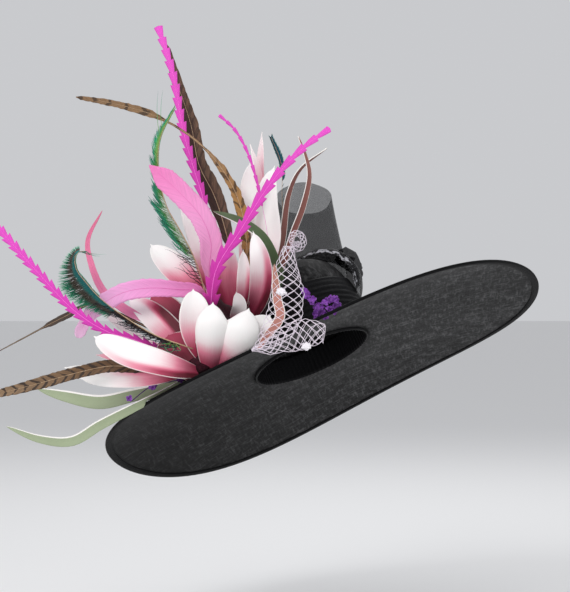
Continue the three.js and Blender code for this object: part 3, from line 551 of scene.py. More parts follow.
class Work:
    """A piece under construction: one bmesh that stores lay, rim and tone at its points.

    lay is the place across and along, with the share along. rim is 1 at an edge. tone drives a colour.
    """

    def __init__(self) -> None:
        """Starts an empty piece."""
        self.bm = bmesh.new()
        self.lay = self.bm.verts.layers.float_vector.new("lay")
        self.rim = self.bm.verts.layers.float.new("rim")
        self.tone = self.bm.verts.layers.float.new("tone")

    def grid(self, columns: int, rows: int) -> list[bmesh.types.BMVert]:
        """Adds a flat grid from -1 to 1 both ways and gives its points."""
        return bmesh.ops.create_grid(self.bm, x_segments=columns, y_segments=rows, size=1)["verts"]

    def slab(self, columns: int, rows: int) -> list[bmesh.types.BMVert]:
        """Adds a closed slab: a grid at height 0 with its copy at height 1.

        Args:
            columns: its faces across.
            rows: its faces along.

        Returns:
            Its points.
        """
        lower = self.grid(columns, rows)
        faces = list({face for vert in lower for face in vert.link_faces})
        made = bmesh.ops.extrude_face_region(self.bm, geom=faces)["geom"]
        upper = [item for item in made if isinstance(item, bmesh.types.BMVert)]
        bmesh.ops.translate(self.bm, verts=upper, vec=(0, 0, 1))
        return lower + upper

    def spun(self, profile: Sequence[tuple[float, float]], steps: int) -> list[bmesh.types.BMVert]:
        """Spins a closed profile a full turn.

        Args:
            profile: radius and height of its corners.
            steps: faces round it.

        Returns:
            The points.
        """
        verts = [self.bm.verts.new((radius, 0, height)) for radius, height in profile]
        edges = [self.bm.edges.new((verts[i - 1], verts[i])) for i in range(len(verts))]
        bmesh.ops.spin(self.bm, geom=verts + edges, cent=(0, 0, 0), axis=(0, 0, 1), angle=2 * math.pi,
                       steps=steps, use_merge=True)
        return list(self.bm.verts)

    def weld(self, verts: Iterable[bmesh.types.BMVert], near: float = 1e-6) -> None:
        """Joins points that lie nearer together than a distance in metres."""
        bmesh.ops.remove_doubles(self.bm, verts=list(verts), dist=near)

    def rod(self, points: Sequence[Vector], radii: Sequence[float], sides: int = 6) -> None:
        """Adds a round tapering rod along places.

        Args:
            points: the places that it follows.
            radii: its radius at each place.
            sides: faces round it.
        """
        rows = len(points) - 1
        verts = self.grid(sides, rows)
        frames: list[tuple[Vector, Vector]] = []
        side = None
        for i, point in enumerate(points):
            ahead = (points[min(i + 1, rows)] - points[max(i - 1, 0)]).normalized()
            if side is None:
                side = ahead.orthogonal()
            side = (side - ahead * side.dot(ahead)).normalized()
            frames.append((side.copy(), ahead.cross(side)))
        for vert in verts:
            row = round((vert.co.y + 1) / 2 * rows)
            angle = math.pi * vert.co.x
            one, two = frames[row]
            out = one * math.cos(angle) + two * math.sin(angle)
            vert[self.lay] = (0.0, row * MM, row / rows)
            vert.co = points[row] + out * radii[row]
        self.weld((vert for vert in verts if vert.is_boundary), 2e-6)

    def piece(self, name: str, finish: Finish, nodes: Sequence[str] = (),
              smooth_faces: bool = True) -> bpy.types.Object:
        """Turns the bmesh into a shown piece that rides on the hat.

        Args:
            name: the piece's name.
            finish: its finish.
            nodes: the solids that it stands for.
            smooth_faces: whether it is shaded smooth.

        Returns:
            The piece.
        """
        bmesh.ops.recalc_face_normals(self.bm, faces=self.bm.faces[:])
        mesh = bpy.data.meshes.new(name)
        self.bm.to_mesh(mesh)
        self.bm.free()
        for face in mesh.polygons:
            face.use_smooth = smooth_faces
        made = bpy.data.objects.new(name, mesh)
        bpy.context.scene.collection.objects.link(made)
        made.data.materials.append(finish.material())
        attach(made, "root")
        if nodes:
            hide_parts(*nodes)
        log.info("%s: %d faces for %s", name, len(mesh.polygons), ", ".join(nodes) or "no solid")
        return made


class Spine:
    """A smooth line through table places, read by its share of length."""

    SAMPLES = 20
    PROBE = 0.01

    def __init__(self, places: Sequence[Triple]) -> None:
        """Draws the line.

        Args:
            places: the places (across, up, depth) that it runs through.
        """
        points = [seen(*place) for place in places]
        ends = [points[0] * 2 - points[1], *points, points[-1] * 2 - points[-2]]
        self.line: list[Vector] = []
        for before, start, stop, after in zip(ends, ends[1:], ends[2:], ends[3:]):
            gaps = zip((before, start, stop), (start, stop, after))
            one, two, three = (math.sqrt((b - a).length) for a, b in gaps)
            leave = (start - before) / one - (stop - before) / (one + two) + (stop - start) / two
            arrive = (stop - start) / two - (after - start) / (two + three) + (after - stop) / three
            for sample in range(self.SAMPLES):
                self.line.append(curve(start, stop, leave * two, arrive * two, sample / self.SAMPLES))
        self.line.append(points[-1])
        self.reach = [0.0]
        for one, two in zip(self.line, self.line[1:]):
            self.reach.append(self.reach[-1] + (two - one).length)
        self.length = self.reach[-1]

    def at(self, share: float) -> Vector:
        """Gives the place at a share of the length, and runs straight on past either end.

        Args:
            share: share of the length.

        Returns:
            The place.
        """
        want = share * self.length
        low, high = 0, len(self.reach) - 1
        while high - low > 1:
            middle = (low + high) // 2
            low, high = (middle, high) if self.reach[middle] <= want else (low, middle)
        part = (want - self.reach[low]) / (self.reach[high] - self.reach[low])
        if 0 <= part <= 1:
            return self.line[low].lerp(self.line[high], part)
        return self.line[low] + (self.line[high] - self.line[low]) * part

    def frame(self, share: float, turn: float) -> tuple[Vector, Vector, Vector, Vector]:
        """Gives the line's place and directions at a share of its length.

        Args:
            share: how far along, from 0 to 1.
            turn: radians that the face is turned from the viewer about the line.

        Returns:
            The place, the way ahead, the way that the face looks, and the way to its side.
        """
        held = min(1.0, max(0.0, share))
        ahead = (self.at(min(1.0, held + self.PROBE)) - self.at(max(0.0, held - self.PROBE))).normalized()
        face = Vector((0, -1, 0))
        face = (face - ahead * face.dot(ahead)).normalized()
        face.rotate(Matrix.Rotation(turn, 3, ahead))
        return self.at(share), ahead, face, ahead.cross(face)


Shape = Callable[[float], float]


def petal_shape(widest: float, base: float = 0.35, round_off: float = 0.6, nib: float = 0.93) -> Shape:
    """Gives the share of full width along a petal or leaf.

    Args:
        widest: where it is widest.
        base: share of width at the base.
        round_off: how it closes; a half is a round end, and more gives a leaner one.
        nib: share of the way to the end where a small point begins.

    Returns:
        A function of the share along.
    """
    def share(along: float) -> float:
        """Gives the width at one place.

        Args:
            along: the share along.

        Returns:
            The share of full width.
        """
        if along < widest:
            return mix(base, 1, math.sin(math.pi / 2 * along / widest) ** 0.8)
        beyond = min(1.0, (along - widest) / (1 - widest))
        body = max(0.0, 1 - (beyond / nib) ** 2) ** round_off
        return max(body, min(0.16, 1.3 * (1 - beyond)), 0.012)
    return share


def profile_shape(points: Sequence[tuple[float, float]]) -> Shape:
    """Gives the share of full width along a feather.

    Args:
        points: shares along, each with its share of full width.

    Returns:
        A function of the share along.
    """
    def share(along: float) -> float:
        """Gives the width at one place.

        Args:
            along: the share along.

        Returns:
            The share of full width.
        """
        for (a0, w0), (a1, w1) in zip(points, points[1:]):
            if along <= a1:
                return mix(w0, w1, smooth((along - a0) / (a1 - a0)))
        return points[-1][1]
    return share


def vane_shape(start: float, quill: float, tip: float, close: float = 0.1, lean: float = 0.55) -> Shape:
    """Gives the share of full width along a feather with a bare quill and an even vane.

    Args:
        start: where the vane starts.
        quill: share of width of the quill before it.
        tip: share of width at the very tip.
        close: share of the length over which the tip closes.
        lean: how roundly it closes; less is rounder.

    Returns:
        A function of the share along.
    """
    flare = 0.15

    def share(along: float) -> float:
        """Gives the width at one place.

        Args:
            along: the share along.

        Returns:
            The share of full width.
        """
        if along < start:
            return quill
        rise = smooth((along - start) / flare)
        end = max(0.0, min(1.0, (1 - along) / close)) ** lean
        return max(0.02, mix(quill, 1, rise) * mix(tip, 1, end))
    return share


@dataclass
class Strip:
    """A thin curved sheet on a line, as every petal, leaf and vane is. Sizes are in millimetres."""

    # Share of the length at the tip where barbs stop leaning, and least share of thickness at an edge
    LEAN_FADE = 0.15
    EDGE_THIN = 0.25
    # Radians of ripple from the line to an edge, and along the whole line
    RIPPLE_TURNS = (3, 11)
    # Rows of a shaft as long as the strip, and its share of radius at its end
    SHAFT_ROWS = 28
    SHAFT_TIP = 0.25

    line: Sequence[Triple]
    width: float
    turn: tuple[float, float] = (0.0, 0.0)
    cup: float = 0.0
    thick: float = 1.5
    lean: float = 0.0
    columns: int = 8
    ragged: float = 0.0
    ripple: float = 0.0
    seed: int = 1
    spine: Spine = field(init=False)

    def __post_init__(self) -> None:
        """Draws the strip's line."""
        self.spine = Spine(self.line)

    def build(self, work: Work, stations: Sequence[tuple[float, float]],
              tone: Callable[[float, float, bool], float] | None = None) -> None:
        """Adds the strip to a piece.

        Args:
            work: the piece.
            stations: shares along with the share of full width there.
            tone: gives what is stored as tone from across, along and whether it is the rear.
        """
        rows = len(stations) - 1
        jag = random.Random(self.seed)
        nicks = [[jag.uniform(-1, 1) * self.ragged for _ in (0, 1)] for _ in stations]
        for vert in work.slab(self.columns, rows):
            across, rear = vert.co.x, vert.co.z > 0.5
            row = round((vert.co.y + 1) / 2 * rows)
            along, share = stations[row]
            half = self.width * MM / 2 * share
            if abs(across) > 0.99:
                half *= 1 + nicks[row][int(across > 0)]
            out = across * half
            reach = along + self.lean * smooth((1 - along) / self.LEAN_FADE) * abs(out) / self.spine.length
            place, _, face, side = self.spine.frame(reach, math.radians(mix(*self.turn, along)))
            rise = self.cup * MM * share * across * across
            wave = math.sin(across * self.RIPPLE_TURNS[0] + along * self.RIPPLE_TURNS[1] + self.seed)
            rise += self.ripple * MM * wave * abs(across)
            edge = max(self.EDGE_THIN, math.sqrt(max(0.0, 1 - abs(across) ** 6)))
            skin = self.thick * MM / 2 * edge * (-1 if rear else 1)
            vert.co = place + side * out + face * (rise + skin)
            vert[work.lay] = (out, along * self.spine.length, along)
            vert[work.rim] = abs(across)
            if tone:
                vert[work.tone] = tone(across, along, rear)

    def shaft(self, work: Work, start: float, stop: float, radius: float, lift: float = 0.0) -> None:
        """Adds a tapering shaft on the strip's line.

        Args:
            work: the piece.
            start: share along where it begins.
            stop: share along where it ends.
            radius: its radius at the start, in millimetres.
            lift: how far it stands towards the viewer, in millimetres.
        """
        rows = max(6, int((stop - start) * self.SHAFT_ROWS))
        points, radii = [], []
        for row in range(rows + 1):
            share = mix(start, stop, row / rows)
            place, _, face, _ = self.spine.frame(share, math.radians(mix(*self.turn, share)))
            points.append(place + face * lift * MM)
            radii.append(radius * MM * mix(1.0, self.SHAFT_TIP, row / rows))
        work.rod(points, radii)


def even(count: int, shape: Shape, ease: float = 0.0) -> list[tuple[float, float]]:
    """Gives stations of a shape, closer at the ends by the share called ease."""
    steps = [mix(i / count, (1 - math.cos(math.pi * i / count)) / 2, ease) for i in range(count + 1)]
    return [(along, shape(along)) for along in steps]


# The hat itself


@dataclass
class Brim:
    """The wide brim: a shallow dome from the head opening down to a wavy rim. Sizes in millimetres.

    waves gives for each wave of the rim its number round, and its rise as cosine and sine.
    """

    rim_radius: float = 343.0
    rim_centre: Triple = (8.5, 9.6, -34.2)
    waves: Sequence[Triple] = ((2, 0.9, 4.4), (3, -7.5, -7.4))
    opening: float = 90.85
    oval: float = 1.096
    thick: float = 1.6
    arch: float = 7.0
    sectors: int = 168
    cells: int = 26
    sag: float = 1.1
    sag_pitch: float = 0.012
    binding_width: float = 9.0
    binding_rise: float = 2.15
    binding_gap: float = 0.35
    binding_puff: float = 0.06
    binding_puffs: int = 84
    cut_height: float = 0.5
    rim_cut_height: float = 2.2
    rim_zone: float = 0.965

    # Rounds of the search for the brim under a place, and how far past the rim it still counts
    SEAT_ROUNDS = 8
    PAST_RIM = 1.006
    # Radius that the binding's section is spun at before it is laid on the rim
    HUB = 30

    def wave(self, angle: float) -> float:
        """Gives the rise of the wavy rim at an angle."""
        return sum(c * math.cos(n * angle) + s * math.sin(n * angle) for n, c, s in self.waves)

    def point(self, angle: float, outward: float) -> Vector:
        """Gives the brim's middle surface.

        Args:
            angle: radians round the hat's axis.
            outward: share of the way from the opening to the rim.

        Returns:
            The place in metres.
        """
        inner = (self.opening * math.cos(angle), self.opening * self.oval * math.sin(angle), 0.0)
        outer = (self.rim_centre[0] + self.rim_radius * math.cos(angle),
                 self.rim_centre[1] + self.rim_radius * math.sin(angle),
                 self.rim_centre[2] + self.wave(angle))
        right, back, up = (mix(a, b, outward) for a, b in zip(inner, outer))
        uneven = noise.noise(Vector((right, back, 0)) * self.sag_pitch)
        sag = self.sag * uneven * math.sin(math.pi * min(1.0, outward))
        return hat_point(right, back, up + self.arch * math.sin(math.pi * outward) + sag)

    def seat(self, right: float, back: float) -> tuple[float, float] | None:
        """Finds the brim under a place.

        Args:
            right: millimetres to the right in the hat's axes.
            back: millimetres to the back in the hat's axes.

        Returns:
            The height of its upper skin in the hat's axes, and the share of the way out; none off the brim.
        """
        outward = 0.5
        for _ in range(self.SEAT_ROUNDS):
            off = (back - self.rim_centre[1] * outward, right - self.rim_centre[0] * outward)
            angle = math.atan2(*off)
            inner = math.hypot(self.opening * math.cos(angle), self.opening * self.oval * math.sin(angle))
            outward = (math.hypot(*off) - inner) / (self.rim_radius - inner)
        if not 0 < outward < self.PAST_RIM:
            return None
        arch = self.arch * math.sin(math.pi * min(1.0, outward))
        return (self.rim_centre[2] + self.wave(angle)) * outward + arch + self.thick / 2, outward

    def trim(self, work: Work) -> None:
        """Cuts off what would go through the brim, and closes the cuts just above its upper skin.

        Args:
            work: the piece.
        """
        back_turn = HAT_TURN.transposed()
        low: dict[bmesh.types.BMVert, Vector] = {}
        for vert in work.bm.verts:
            right, back, up = (back_turn @ vert.co) / MM
            seat = self.seat(right, back)
            if seat is None:
                continue
            rest = seat[0] + (self.rim_cut_height if seat[1] > self.rim_zone else self.cut_height)
            if up < rest:
                low[vert] = hat_point(right, back, rest)
        gone = [face for face in work.bm.faces if all(vert in low for vert in face.verts)]
        bmesh.ops.delete(work.bm, geom=gone, context="FACES")
        for vert in work.bm.verts:
            if vert in low:
                vert.co = low[vert]
        rim = [edge for edge in work.bm.edges if edge.is_boundary]
        if rim:
            bmesh.ops.holes_fill(work.bm, edges=rim, sides=0)

    def axes(self, angle: float, outward: float) -> tuple[Vector, Vector]:
        """Gives the directions at a place on the brim.

        Args:
            angle: radians round the hat's axis.
            outward: share of the way from the opening to the rim.

        Returns:
            The outward and the upright direction.
        """
        step = 0.02
        inner = min(1.0 - step, max(0.0, outward - step / 2))
        out = (self.point(angle, inner + step) - self.point(angle, inner)).normalized()
        along = (self.point(angle + step, outward) - self.point(angle - step, outward)).normalized()
        return out, out.cross(along).normalized()

    def build(self) -> None:
        """Makes the woven brim and the strip bound round its edge."""
        self.woven()
        self.binding()

    def woven(self) -> None:
        """Makes the woven brim, a thin sheet with two skins."""
        work = Work()
        over = [(1 + i / self.cells, 0.5) for i in range(self.cells + 1)]
        under = [(radius, -0.5) for radius, _ in reversed(over)]
        for vert in work.spun(over + under, self.sectors):
            angle, outward = math.atan2(vert.co.y, vert.co.x), math.hypot(vert.co.x, vert.co.y) - 1
            _, upright = self.axes(angle, outward)
            vert.co = self.point(angle, outward) + upright * vert.co.z * self.thick * MM
        piece = work.piece("woven_brim", SINAMAY, ["brim"])

    def binding(self) -> None:
        """Makes the rolled strip: a rounded fold over the brim's edge."""
        work = Work()
        width, rise, gap = self.binding_width, self.binding_rise, self.binding_gap
        slot = self.thick / 2 + gap
        outer = [(-width, slot), (-width + 0.5, rise), (-width / 2, rise + 0.15), (0.3, rise),
                 (1.4, rise * 0.6), (1.8, 0.0)]
        section = [*outer, *((x, -y) for x, y in reversed(outer[:-1])), (gap, -slot), (gap, slot)]
        for vert in work.spun([(self.HUB + x, y) for x, y in section], self.sectors):
            angle, across = math.atan2(vert.co.y, vert.co.x), math.hypot(vert.co.x, vert.co.y) - self.HUB
            out, upright = self.axes(angle, 1.0)
            puff = 1 + self.binding_puff * math.sin(angle * self.binding_puffs) * (across > -width + 0.2)
            vert.co = self.point(angle, 1.0) + (out * across + upright * vert.co.z * puff) * MM
        work.piece("rolled_binding", BINDING, ["brim_binding"])


BRIM = Brim()


@dataclass
class Crown:
    """The domed crown with its gathered head band and pleated outer band. Sizes in millimetres."""

    outline: Sequence[tuple[float, float]] = (
        (99, 2.2), (99.5, 24), (99.5, 45), (98.4, 63), (96, 78), (92.5, 92), (87, 106), (79.5, 117),
        (70, 125), (57, 131), (42, 135), (21, 137.4))
    height: float = 138.0
    oval: float = 1.096
    wall: float = 2.0
    steps: int = 96
    band_radius: float = 88.5
    band_low: float = -5.0
    band_high: float = 34.0
    band_skins: tuple[float, float] = (0.4, 1.9)
    gathers: int = 84
    gather_depth: float = 0.75
    gather_drift: float = 1.5
    pleats: int = 9
    pleat_steps: int = 144
    pleat_low: float = 3.0
    pleat_high: float = 80.0
    pleat_skins: tuple[float, float] = (0.4, 4.2)
    pleat_base: float = 2.2
    pleat_depth: float = 2.4
    pleat_round: float = 0.7
    pleat_drifts: Sequence[Triple] = ((1, 0.55, 0.6), (3, 0.3, 1))

    def radius(self, height: float) -> float:
        """Gives the crown's outer radius.

        Args:
            height: millimetres up the hat's axis.

        Returns:
            The radius in millimetres.
        """
        for (r0, h0), (r1, h1) in zip(self.outline, self.outline[1:]):
            if height <= h1:
                return mix(r0, r1, max(0.0, (height - h0) / (h1 - h0)))
        return self.outline[-1][0]

    def turned(self, work: Work, profile: Sequence[tuple[float, float]],
               fold: Callable[[float, float, float], tuple[float, float]] | None = None,
               steps: int | None = None) -> None:
        """Spins a profile, makes it oval and sets it in the hat's tilt.

        Args:
            work: the piece.
            profile: closed profile of radius and height.
            fold: changes radius and height at an angle.
            steps: places round it.
        """
        for vert in work.spun(profile, steps or self.steps):
            angle = math.atan2(vert.co.y, vert.co.x)
            radius, up = math.hypot(vert.co.x, vert.co.y), vert.co.z
            if fold:
                radius, up = fold(angle, radius, up)
            vert.co = hat_point(radius * math.cos(angle), self.oval * radius * math.sin(angle), up)

    def build(self) -> None:
        """Makes the dome, the head band and the pleated band."""
        work = Work()
        inner = [(radius - self.wall, up * (1 - self.wall / self.height)) for radius, up in self.outline[1:]]
        foot = (self.outline[0][0] - self.wall, self.outline[0][1])
        top = [(0.0, self.height), (0.0, self.height - self.wall)]
        self.turned(work, [*self.outline, *top, *reversed(inner), foot])
        work.weld(work.bm.verts)
        work.piece("blocked_crown", SINAMAY, ["crown"])
        self.head_band()
        self.hat_band()

    def head_band(self) -> None:
        """Makes the gathered band in the head opening."""
        work = Work()
        inner, outer = (self.band_radius + skin for skin in self.band_skins)
        levels = [mix(self.band_low, self.band_high, share) for share in (0, 0.1, 0.3, 0.6, 0.9, 1)]
        profile = [(inner, up) for up in levels] + [(outer, up) for up in reversed(levels)]

        def gather(angle: float, radius: float, up: float) -> tuple[float, float]:
            """Ripples the band's inside where the gathers are.

            Args:
                angle: radians round the hat's axis.
                radius: the smooth band's radius there.
                up: the height there.

            Returns:
                The rippled radius, and the height.
            """
            drift = self.gather_drift * math.sin(angle * 7)
            swell = math.cos(angle * self.gathers + drift) * self.gather_depth
            return radius + swell * (radius < (inner + outer) / 2), up

        self.turned(work, profile, gather, steps=self.gathers * 5)
        piece = work.piece("gathered_head_band", GATHERED, ["head_band"])

    def hat_band(self) -> None:
        """Makes the pleated band round the crown's foot: folds that drift up as they go round."""
        work = Work()
        low, high = self.pleat_low, self.pleat_high
        folds = self.pleats * 4
        levels = [mix(low, high, i / folds) for i in range(folds + 1)]
        inner, outer = ([(self.radius(up) + skin, up) for up in levels] for skin in self.pleat_skins)

        def pleat(angle: float, radius: float, up: float) -> tuple[float, float]:
            """Swells the band's outside into overlapping folds.

            Args:
                angle: radians round the hat's axis.
                radius: the smooth band's radius there.
                up: the height there.

            Returns:
                The folded band's radius and height.
            """
            skin = radius - self.radius(up)
            if skin > sum(self.pleat_skins) / 2:
                drift = sum(size * math.sin(angle * turns + by) for turns, size, by in self.pleat_drifts)
                phase = ((up - low) / (high - low) * self.pleats + drift) % 1
                fade = min(1.0, 2.2 * (high - up) / (high - low) + 0.2)
                swell = math.sin(math.pi * phase) ** self.pleat_round
                skin = self.pleat_base + self.pleat_depth * swell * fade
            return self.radius(up) + skin, up

        self.turned(work, outer + list(reversed(inner)), pleat, steps=self.pleat_steps)
        piece = work.piece("pleated_hat_band", BAND_CRIN, ["hat_band"])


@dataclass
class SheerTrim:
    """The sheer crin pieces: tall open sleeve, band arched over the crown, and side loop. Millimetres.

    Each ring of the sleeve gives its centre, its half widths across and to the back, and its lean.
    """

    rings: Sequence[Sequence[float]] = (
        (2, 70, 98, 46, 26, 0), (1, 80, 125, 56, 38, 3), (-3, 90, 180, 50, 42, 18),
        (-9, 96, 241, 43, 40, 42))
    sleeve_cells: tuple[int, int] = (64, 36)
    sleeve_inset: float = 0.15
    sleeve_wall: float = 0.8
    sleeve_ripple: float = 0.9
    drape_arch: Sequence[tuple[float, float]] = (
        (102, 50), (113, 68), (118, 87), (114, 106), (105, 122), (89, 135), (68, 141), (46, 140), (20, 143),
        (-18, 148), (-55, 145), (-88, 130), (-102, 104), (-99.5, 80.35))
    drape_middle: tuple[float, float] = (0, 60)
    drape_bend: float = 0.7
    drape_curl: float = 7.5
    drape_width: float = 86.0
    drape_spread: float = 125.0
    drape_fall: float = 36.0
    drape_length: float = 290.0
    drape_cells: tuple[int, int] = (36, 150)
    drape_tuck: float = 0.45
    drape_wrinkle: float = 1.4
    drape_crumple: float = 4.5
    drape_fine: float = 2.5
    drape_wall: float = 0.7
    loop_line: Sequence[Triple] = (
        (48, 136, 72), (48, 143, 62), (53.5, 148.5, 53), (61, 144, 46), (64, 126, 44), (60, 104, 42),
        (44, 86, 40))
    loop_width: float = 36.0
    loop_turn: tuple[float, float] = (50, 50)
    loop_taper: tuple[float, float] = (4.5, 3)
    loop_end: float = 0.25

    def build(self) -> None:
        """Makes the three sheer pieces."""
        self.sleeve()
        self.drape()
        self.loop()

    def sleeve(self) -> None:
        """Makes the tall open sleeve behind the crown, with a fine wall."""
        work = Work()
        for vert in work.slab(*self.sleeve_cells):
            along = (vert.co.y + 1) / 2
            x, y, z, across, deep, lean = eased(self.rings, along)
            angle = math.pi * vert.co.x
            tilt = math.radians(lean)
            inset = self.sleeve_inset + self.sleeve_wall * vert.co.z
            ripple = self.sleeve_ripple * math.sin(angle * 5 + along * 6) * along
            back = (deep - inset + ripple) * math.sin(angle)
            right = (across - inset + ripple) * math.cos(angle)
            vert.co = Vector((x + right, y + back * math.cos(tilt), z + back * math.sin(tilt))) * MM
        work.weld(work.bm.verts)
        doubled = [face for face in work.bm.faces if self.is_seam(face)]
        bmesh.ops.delete(work.bm, geom=doubled, context="FACES")
        piece = work.piece("sheer_sleeve", SHEER, ["crin_tube"])

    @staticmethod
    def is_seam(face: bmesh.types.BMFace) -> bool:
        """Tells whether a face lies inside the wall where the sleeve's two sides met."""
        return sum(len(edge.link_faces) > 2 for edge in face.edges) >= 2

    def drape(self) -> None:
        """Makes the band that arches over the crown, with crumpled edges that carry a painted highlight."""
        work = Work()
        for vert in work.slab(*self.drape_cells):
            across, along = vert.co.x, (vert.co.y + 1) / 2
            x, z = eased(self.drape_arch, along)
            bend = max(0.0, -across - self.drape_bend)
            bent = bend / (1 - self.drape_bend)
            back = (across + bend * self.drape_tuck) * self.drape_width / 2
            narrow = math.sqrt(1 - (back / self.drape_spread) ** 2)
            rise = math.sin(math.pi * along)
            crumple = noise.noise(Vector((x, back * 0.5, z)) * 0.11) * smooth(rise * 2)
            edge = max(0.0, abs(across) - self.drape_bend)
            wrinkle = (self.drape_wrinkle * across + self.drape_crumple * edge) * crumple
            fine = noise.noise(Vector((x, back, z)) * 0.3) * self.drape_fine * bent
            inward = (Vector(self.drape_middle) - Vector((x, z))).normalized()
            inward *= self.drape_curl * smooth(bent) * smooth(rise * 3) + fine
            up = z - (1 - narrow) * self.drape_fall * rise + wrinkle + inward.y
            wall = hat_point(x * 0.006, 0, self.drape_wall)
            vert.co = hat_point(x * narrow + inward.x, back, up) + wall * (vert.co.z - 0.5)
            # The rim stored here places the painted highlight along both edges of the band, strongest at the
            # top of the arch.
            gloss = smooth((abs(across) - 0.6) / 0.25)
            vert[work.rim] = gloss * (0.8 + 0.17 * rise)
            vert[work.lay] = (back * MM, along * self.drape_length * MM, along)
        piece = work.piece("sheer_drape", DRAPE_CRIN, ["crown_drape"])

    def loop(self) -> None:
        """Makes the dark loop behind the crown's right side."""
        work = Work()
        strip = Strip(self.loop_line, self.loop_width, turn=self.loop_turn, thick=0.9, columns=12,
                      ripple=2.0, ragged=0.09)
        strip.build(work, even(40, self.loop_share))
        piece = work.piece("sheer_loop", LOOP_CRIN, ["side_loop"])

    def loop_share(self, along: float) -> float:
        """Gives the loop's share of full width, which tapers towards both ends."""
        rise, fall = self.loop_taper
        return mix(self.loop_end, 1.0, smooth(along * rise) * smooth((1 - along) * fall))


@dataclass
class StemPad:
    """The bound pad that holds the stems: felt balls pressed into one soft form."""

    balls: Sequence[tuple[Triple, float]] = (
        ((-148.5, -19.5, -235), 34), ((-181.5, -16.5, -225), 28), ((-151.5, 30, -205), 34),
        ((-151.5, 73.5, -190), 20), ((-127.5, 49.5, -170), 26), ((-100.5, 64.5, -135), 26),
        ((-95, 66, -98), 30))
    inset: float = 0.5
    voxel: float = 0.0045
    ease: float = 0.8
    ease_rounds: int = 14

    def build(self) -> None:
        """Makes the pad and smooths it into one form."""
        work = Work()
        for place, radius in self.balls:
            bmesh.ops.create_icosphere(work.bm, subdivisions=4, radius=(radius - self.inset) * MM,
                                       matrix=Matrix.Translation(seen(*place)))
        BRIM.trim(work)
        piece = work.piece("bound_pad", FELT, ["stem_pad"])
        melt = piece.modifiers.new("melt", "REMESH")
        melt.mode = "VOXEL"
        melt.voxel_size = self.voxel
        melt.use_smooth_shade = True
        ease = piece.modifiers.new("ease", "SMOOTH")
        ease.factor = self.ease
        ease.iterations = self.ease_rounds


# Feathers


@dataclass
class Feather:
    """What every feather has: its name, its line and its shaft. Sizes in millimetres."""

    name: str
    line: Sequence[Triple]

    def add_shaft(self, strip: Strip, finish: Finish, ends: tuple[float, float], radius: float, lift: float,
                  trimmed: bool = True) -> None:
        """Makes the shaft as a piece.

        Args:
            strip: the strip that it lies on.
            finish: its finish.
            ends: shares along where it begins and ends.
            radius: its radius at its start.
            lift: how far it stands towards the viewer.
            trimmed: whether it is cut where it would go through the brim.
        """
        work = Work()
        strip.shaft(work, *ends, radius, lift)
        if trimmed:
            BRIM.trim(work)
        work.piece(f"shaft_{self.name}", finish)


@dataclass
class SawFeather(Feather):
    """A hot-pink feather trimmed to teeth on both sides."""

    # Places on a tooth as shares of its length, each with its share of the way from notch to full width
    TOOTH = ((0.0, 0.0), (0.45, 0.52), (0.93, 1.0))

    width: float
    teeth: int
    tip: float
    notch: float = 0.45
    start: float = 0.0
    bare: float = 0.06
    shaft: float = 0.7

    def build(self) -> None:
        """Makes the toothed vane and its shaft."""
        work = Work()
        stations = []
        for tooth in range(self.teeth):
            for part, rise in self.TOOTH:
                along = (tooth + part) / self.teeth
                share = mix(self.notch, 1, rise) * mix(1, self.tip, along)
                stations.append((along, share if along >= self.start else self.bare))
        stations.append((1.0, 0.25 * self.tip))
        strip = Strip(self.line, self.width, thick=0.8, lean=0.55, columns=4)
        strip.build(work, stations)
        BRIM.trim(work)
        work.piece(f"saw_{self.name}", HOT_PINK, [self.name])
        self.add_shaft(strip, HOT_SHAFT, (0.02, 0.97), self.shaft, 0.4)


@dataclass
class SoftFeather(Feather):
    """A feather with a whole vane, frayed along its edges."""

    # Cup and ripple of the vane for each millimetre of width
    CUP = 0.08
    RIPPLE = 0.025

    width: float
    shape: Shape
    finish: Vane
    turn: tuple[float, float] = (0.0, 0.0)
    ragged: float = 0.05
    shaft: float = 0.9
    seed: int = 3
    shaft_finish: Finish = SHAFT

    def build(self) -> None:
        """Makes the vane and the shaft on it."""
        work = Work()
        strip = Strip(self.line, self.width, turn=self.turn, cup=self.width * self.CUP, thick=0.8, lean=0.7,
                      columns=8, ragged=self.ragged, ripple=self.width * self.RIPPLE, seed=self.seed)
        strip.build(work, even(90, self.shape, 0.3))
        BRIM.trim(work)
        work.piece(f"soft_{self.name}", self.finish, [self.name])
        self.add_shaft(strip, self.shaft_finish, (0.0, 0.93), self.shaft, 0.5)


# Shares of a loose barb's thickness along it: bare near the shaft, full towards its end
LOOSE_BARB = (0.35, 0.35, 0.5, 0.9, 1.2, 1.0, 0.3)


@dataclass
class BarbRow:
    """A row of single barbs along part of a feather, in millimetres and shares.

    long gives their lengths at the row's start, middle and end. lean and curl tip them towards the feather's
    tip. spread fans them towards the viewer and away. clump and loose vary their lengths. wave sways them.
    """

    start: float
    stop: float
    count: int
    side: float
    long: Triple
    finish: Vane
    lean: float = 0.8
    curl: float = 0.3
    thick: float = 0.5
    spread: float = 0.22
    clump: float = 0.0
    wave: float = 0.0
    loose: float = 0.12
    sizes: Sequence[float] = (1.0, 1.0, 0.9, 0.8, 0.6, 0.4, 0.15)


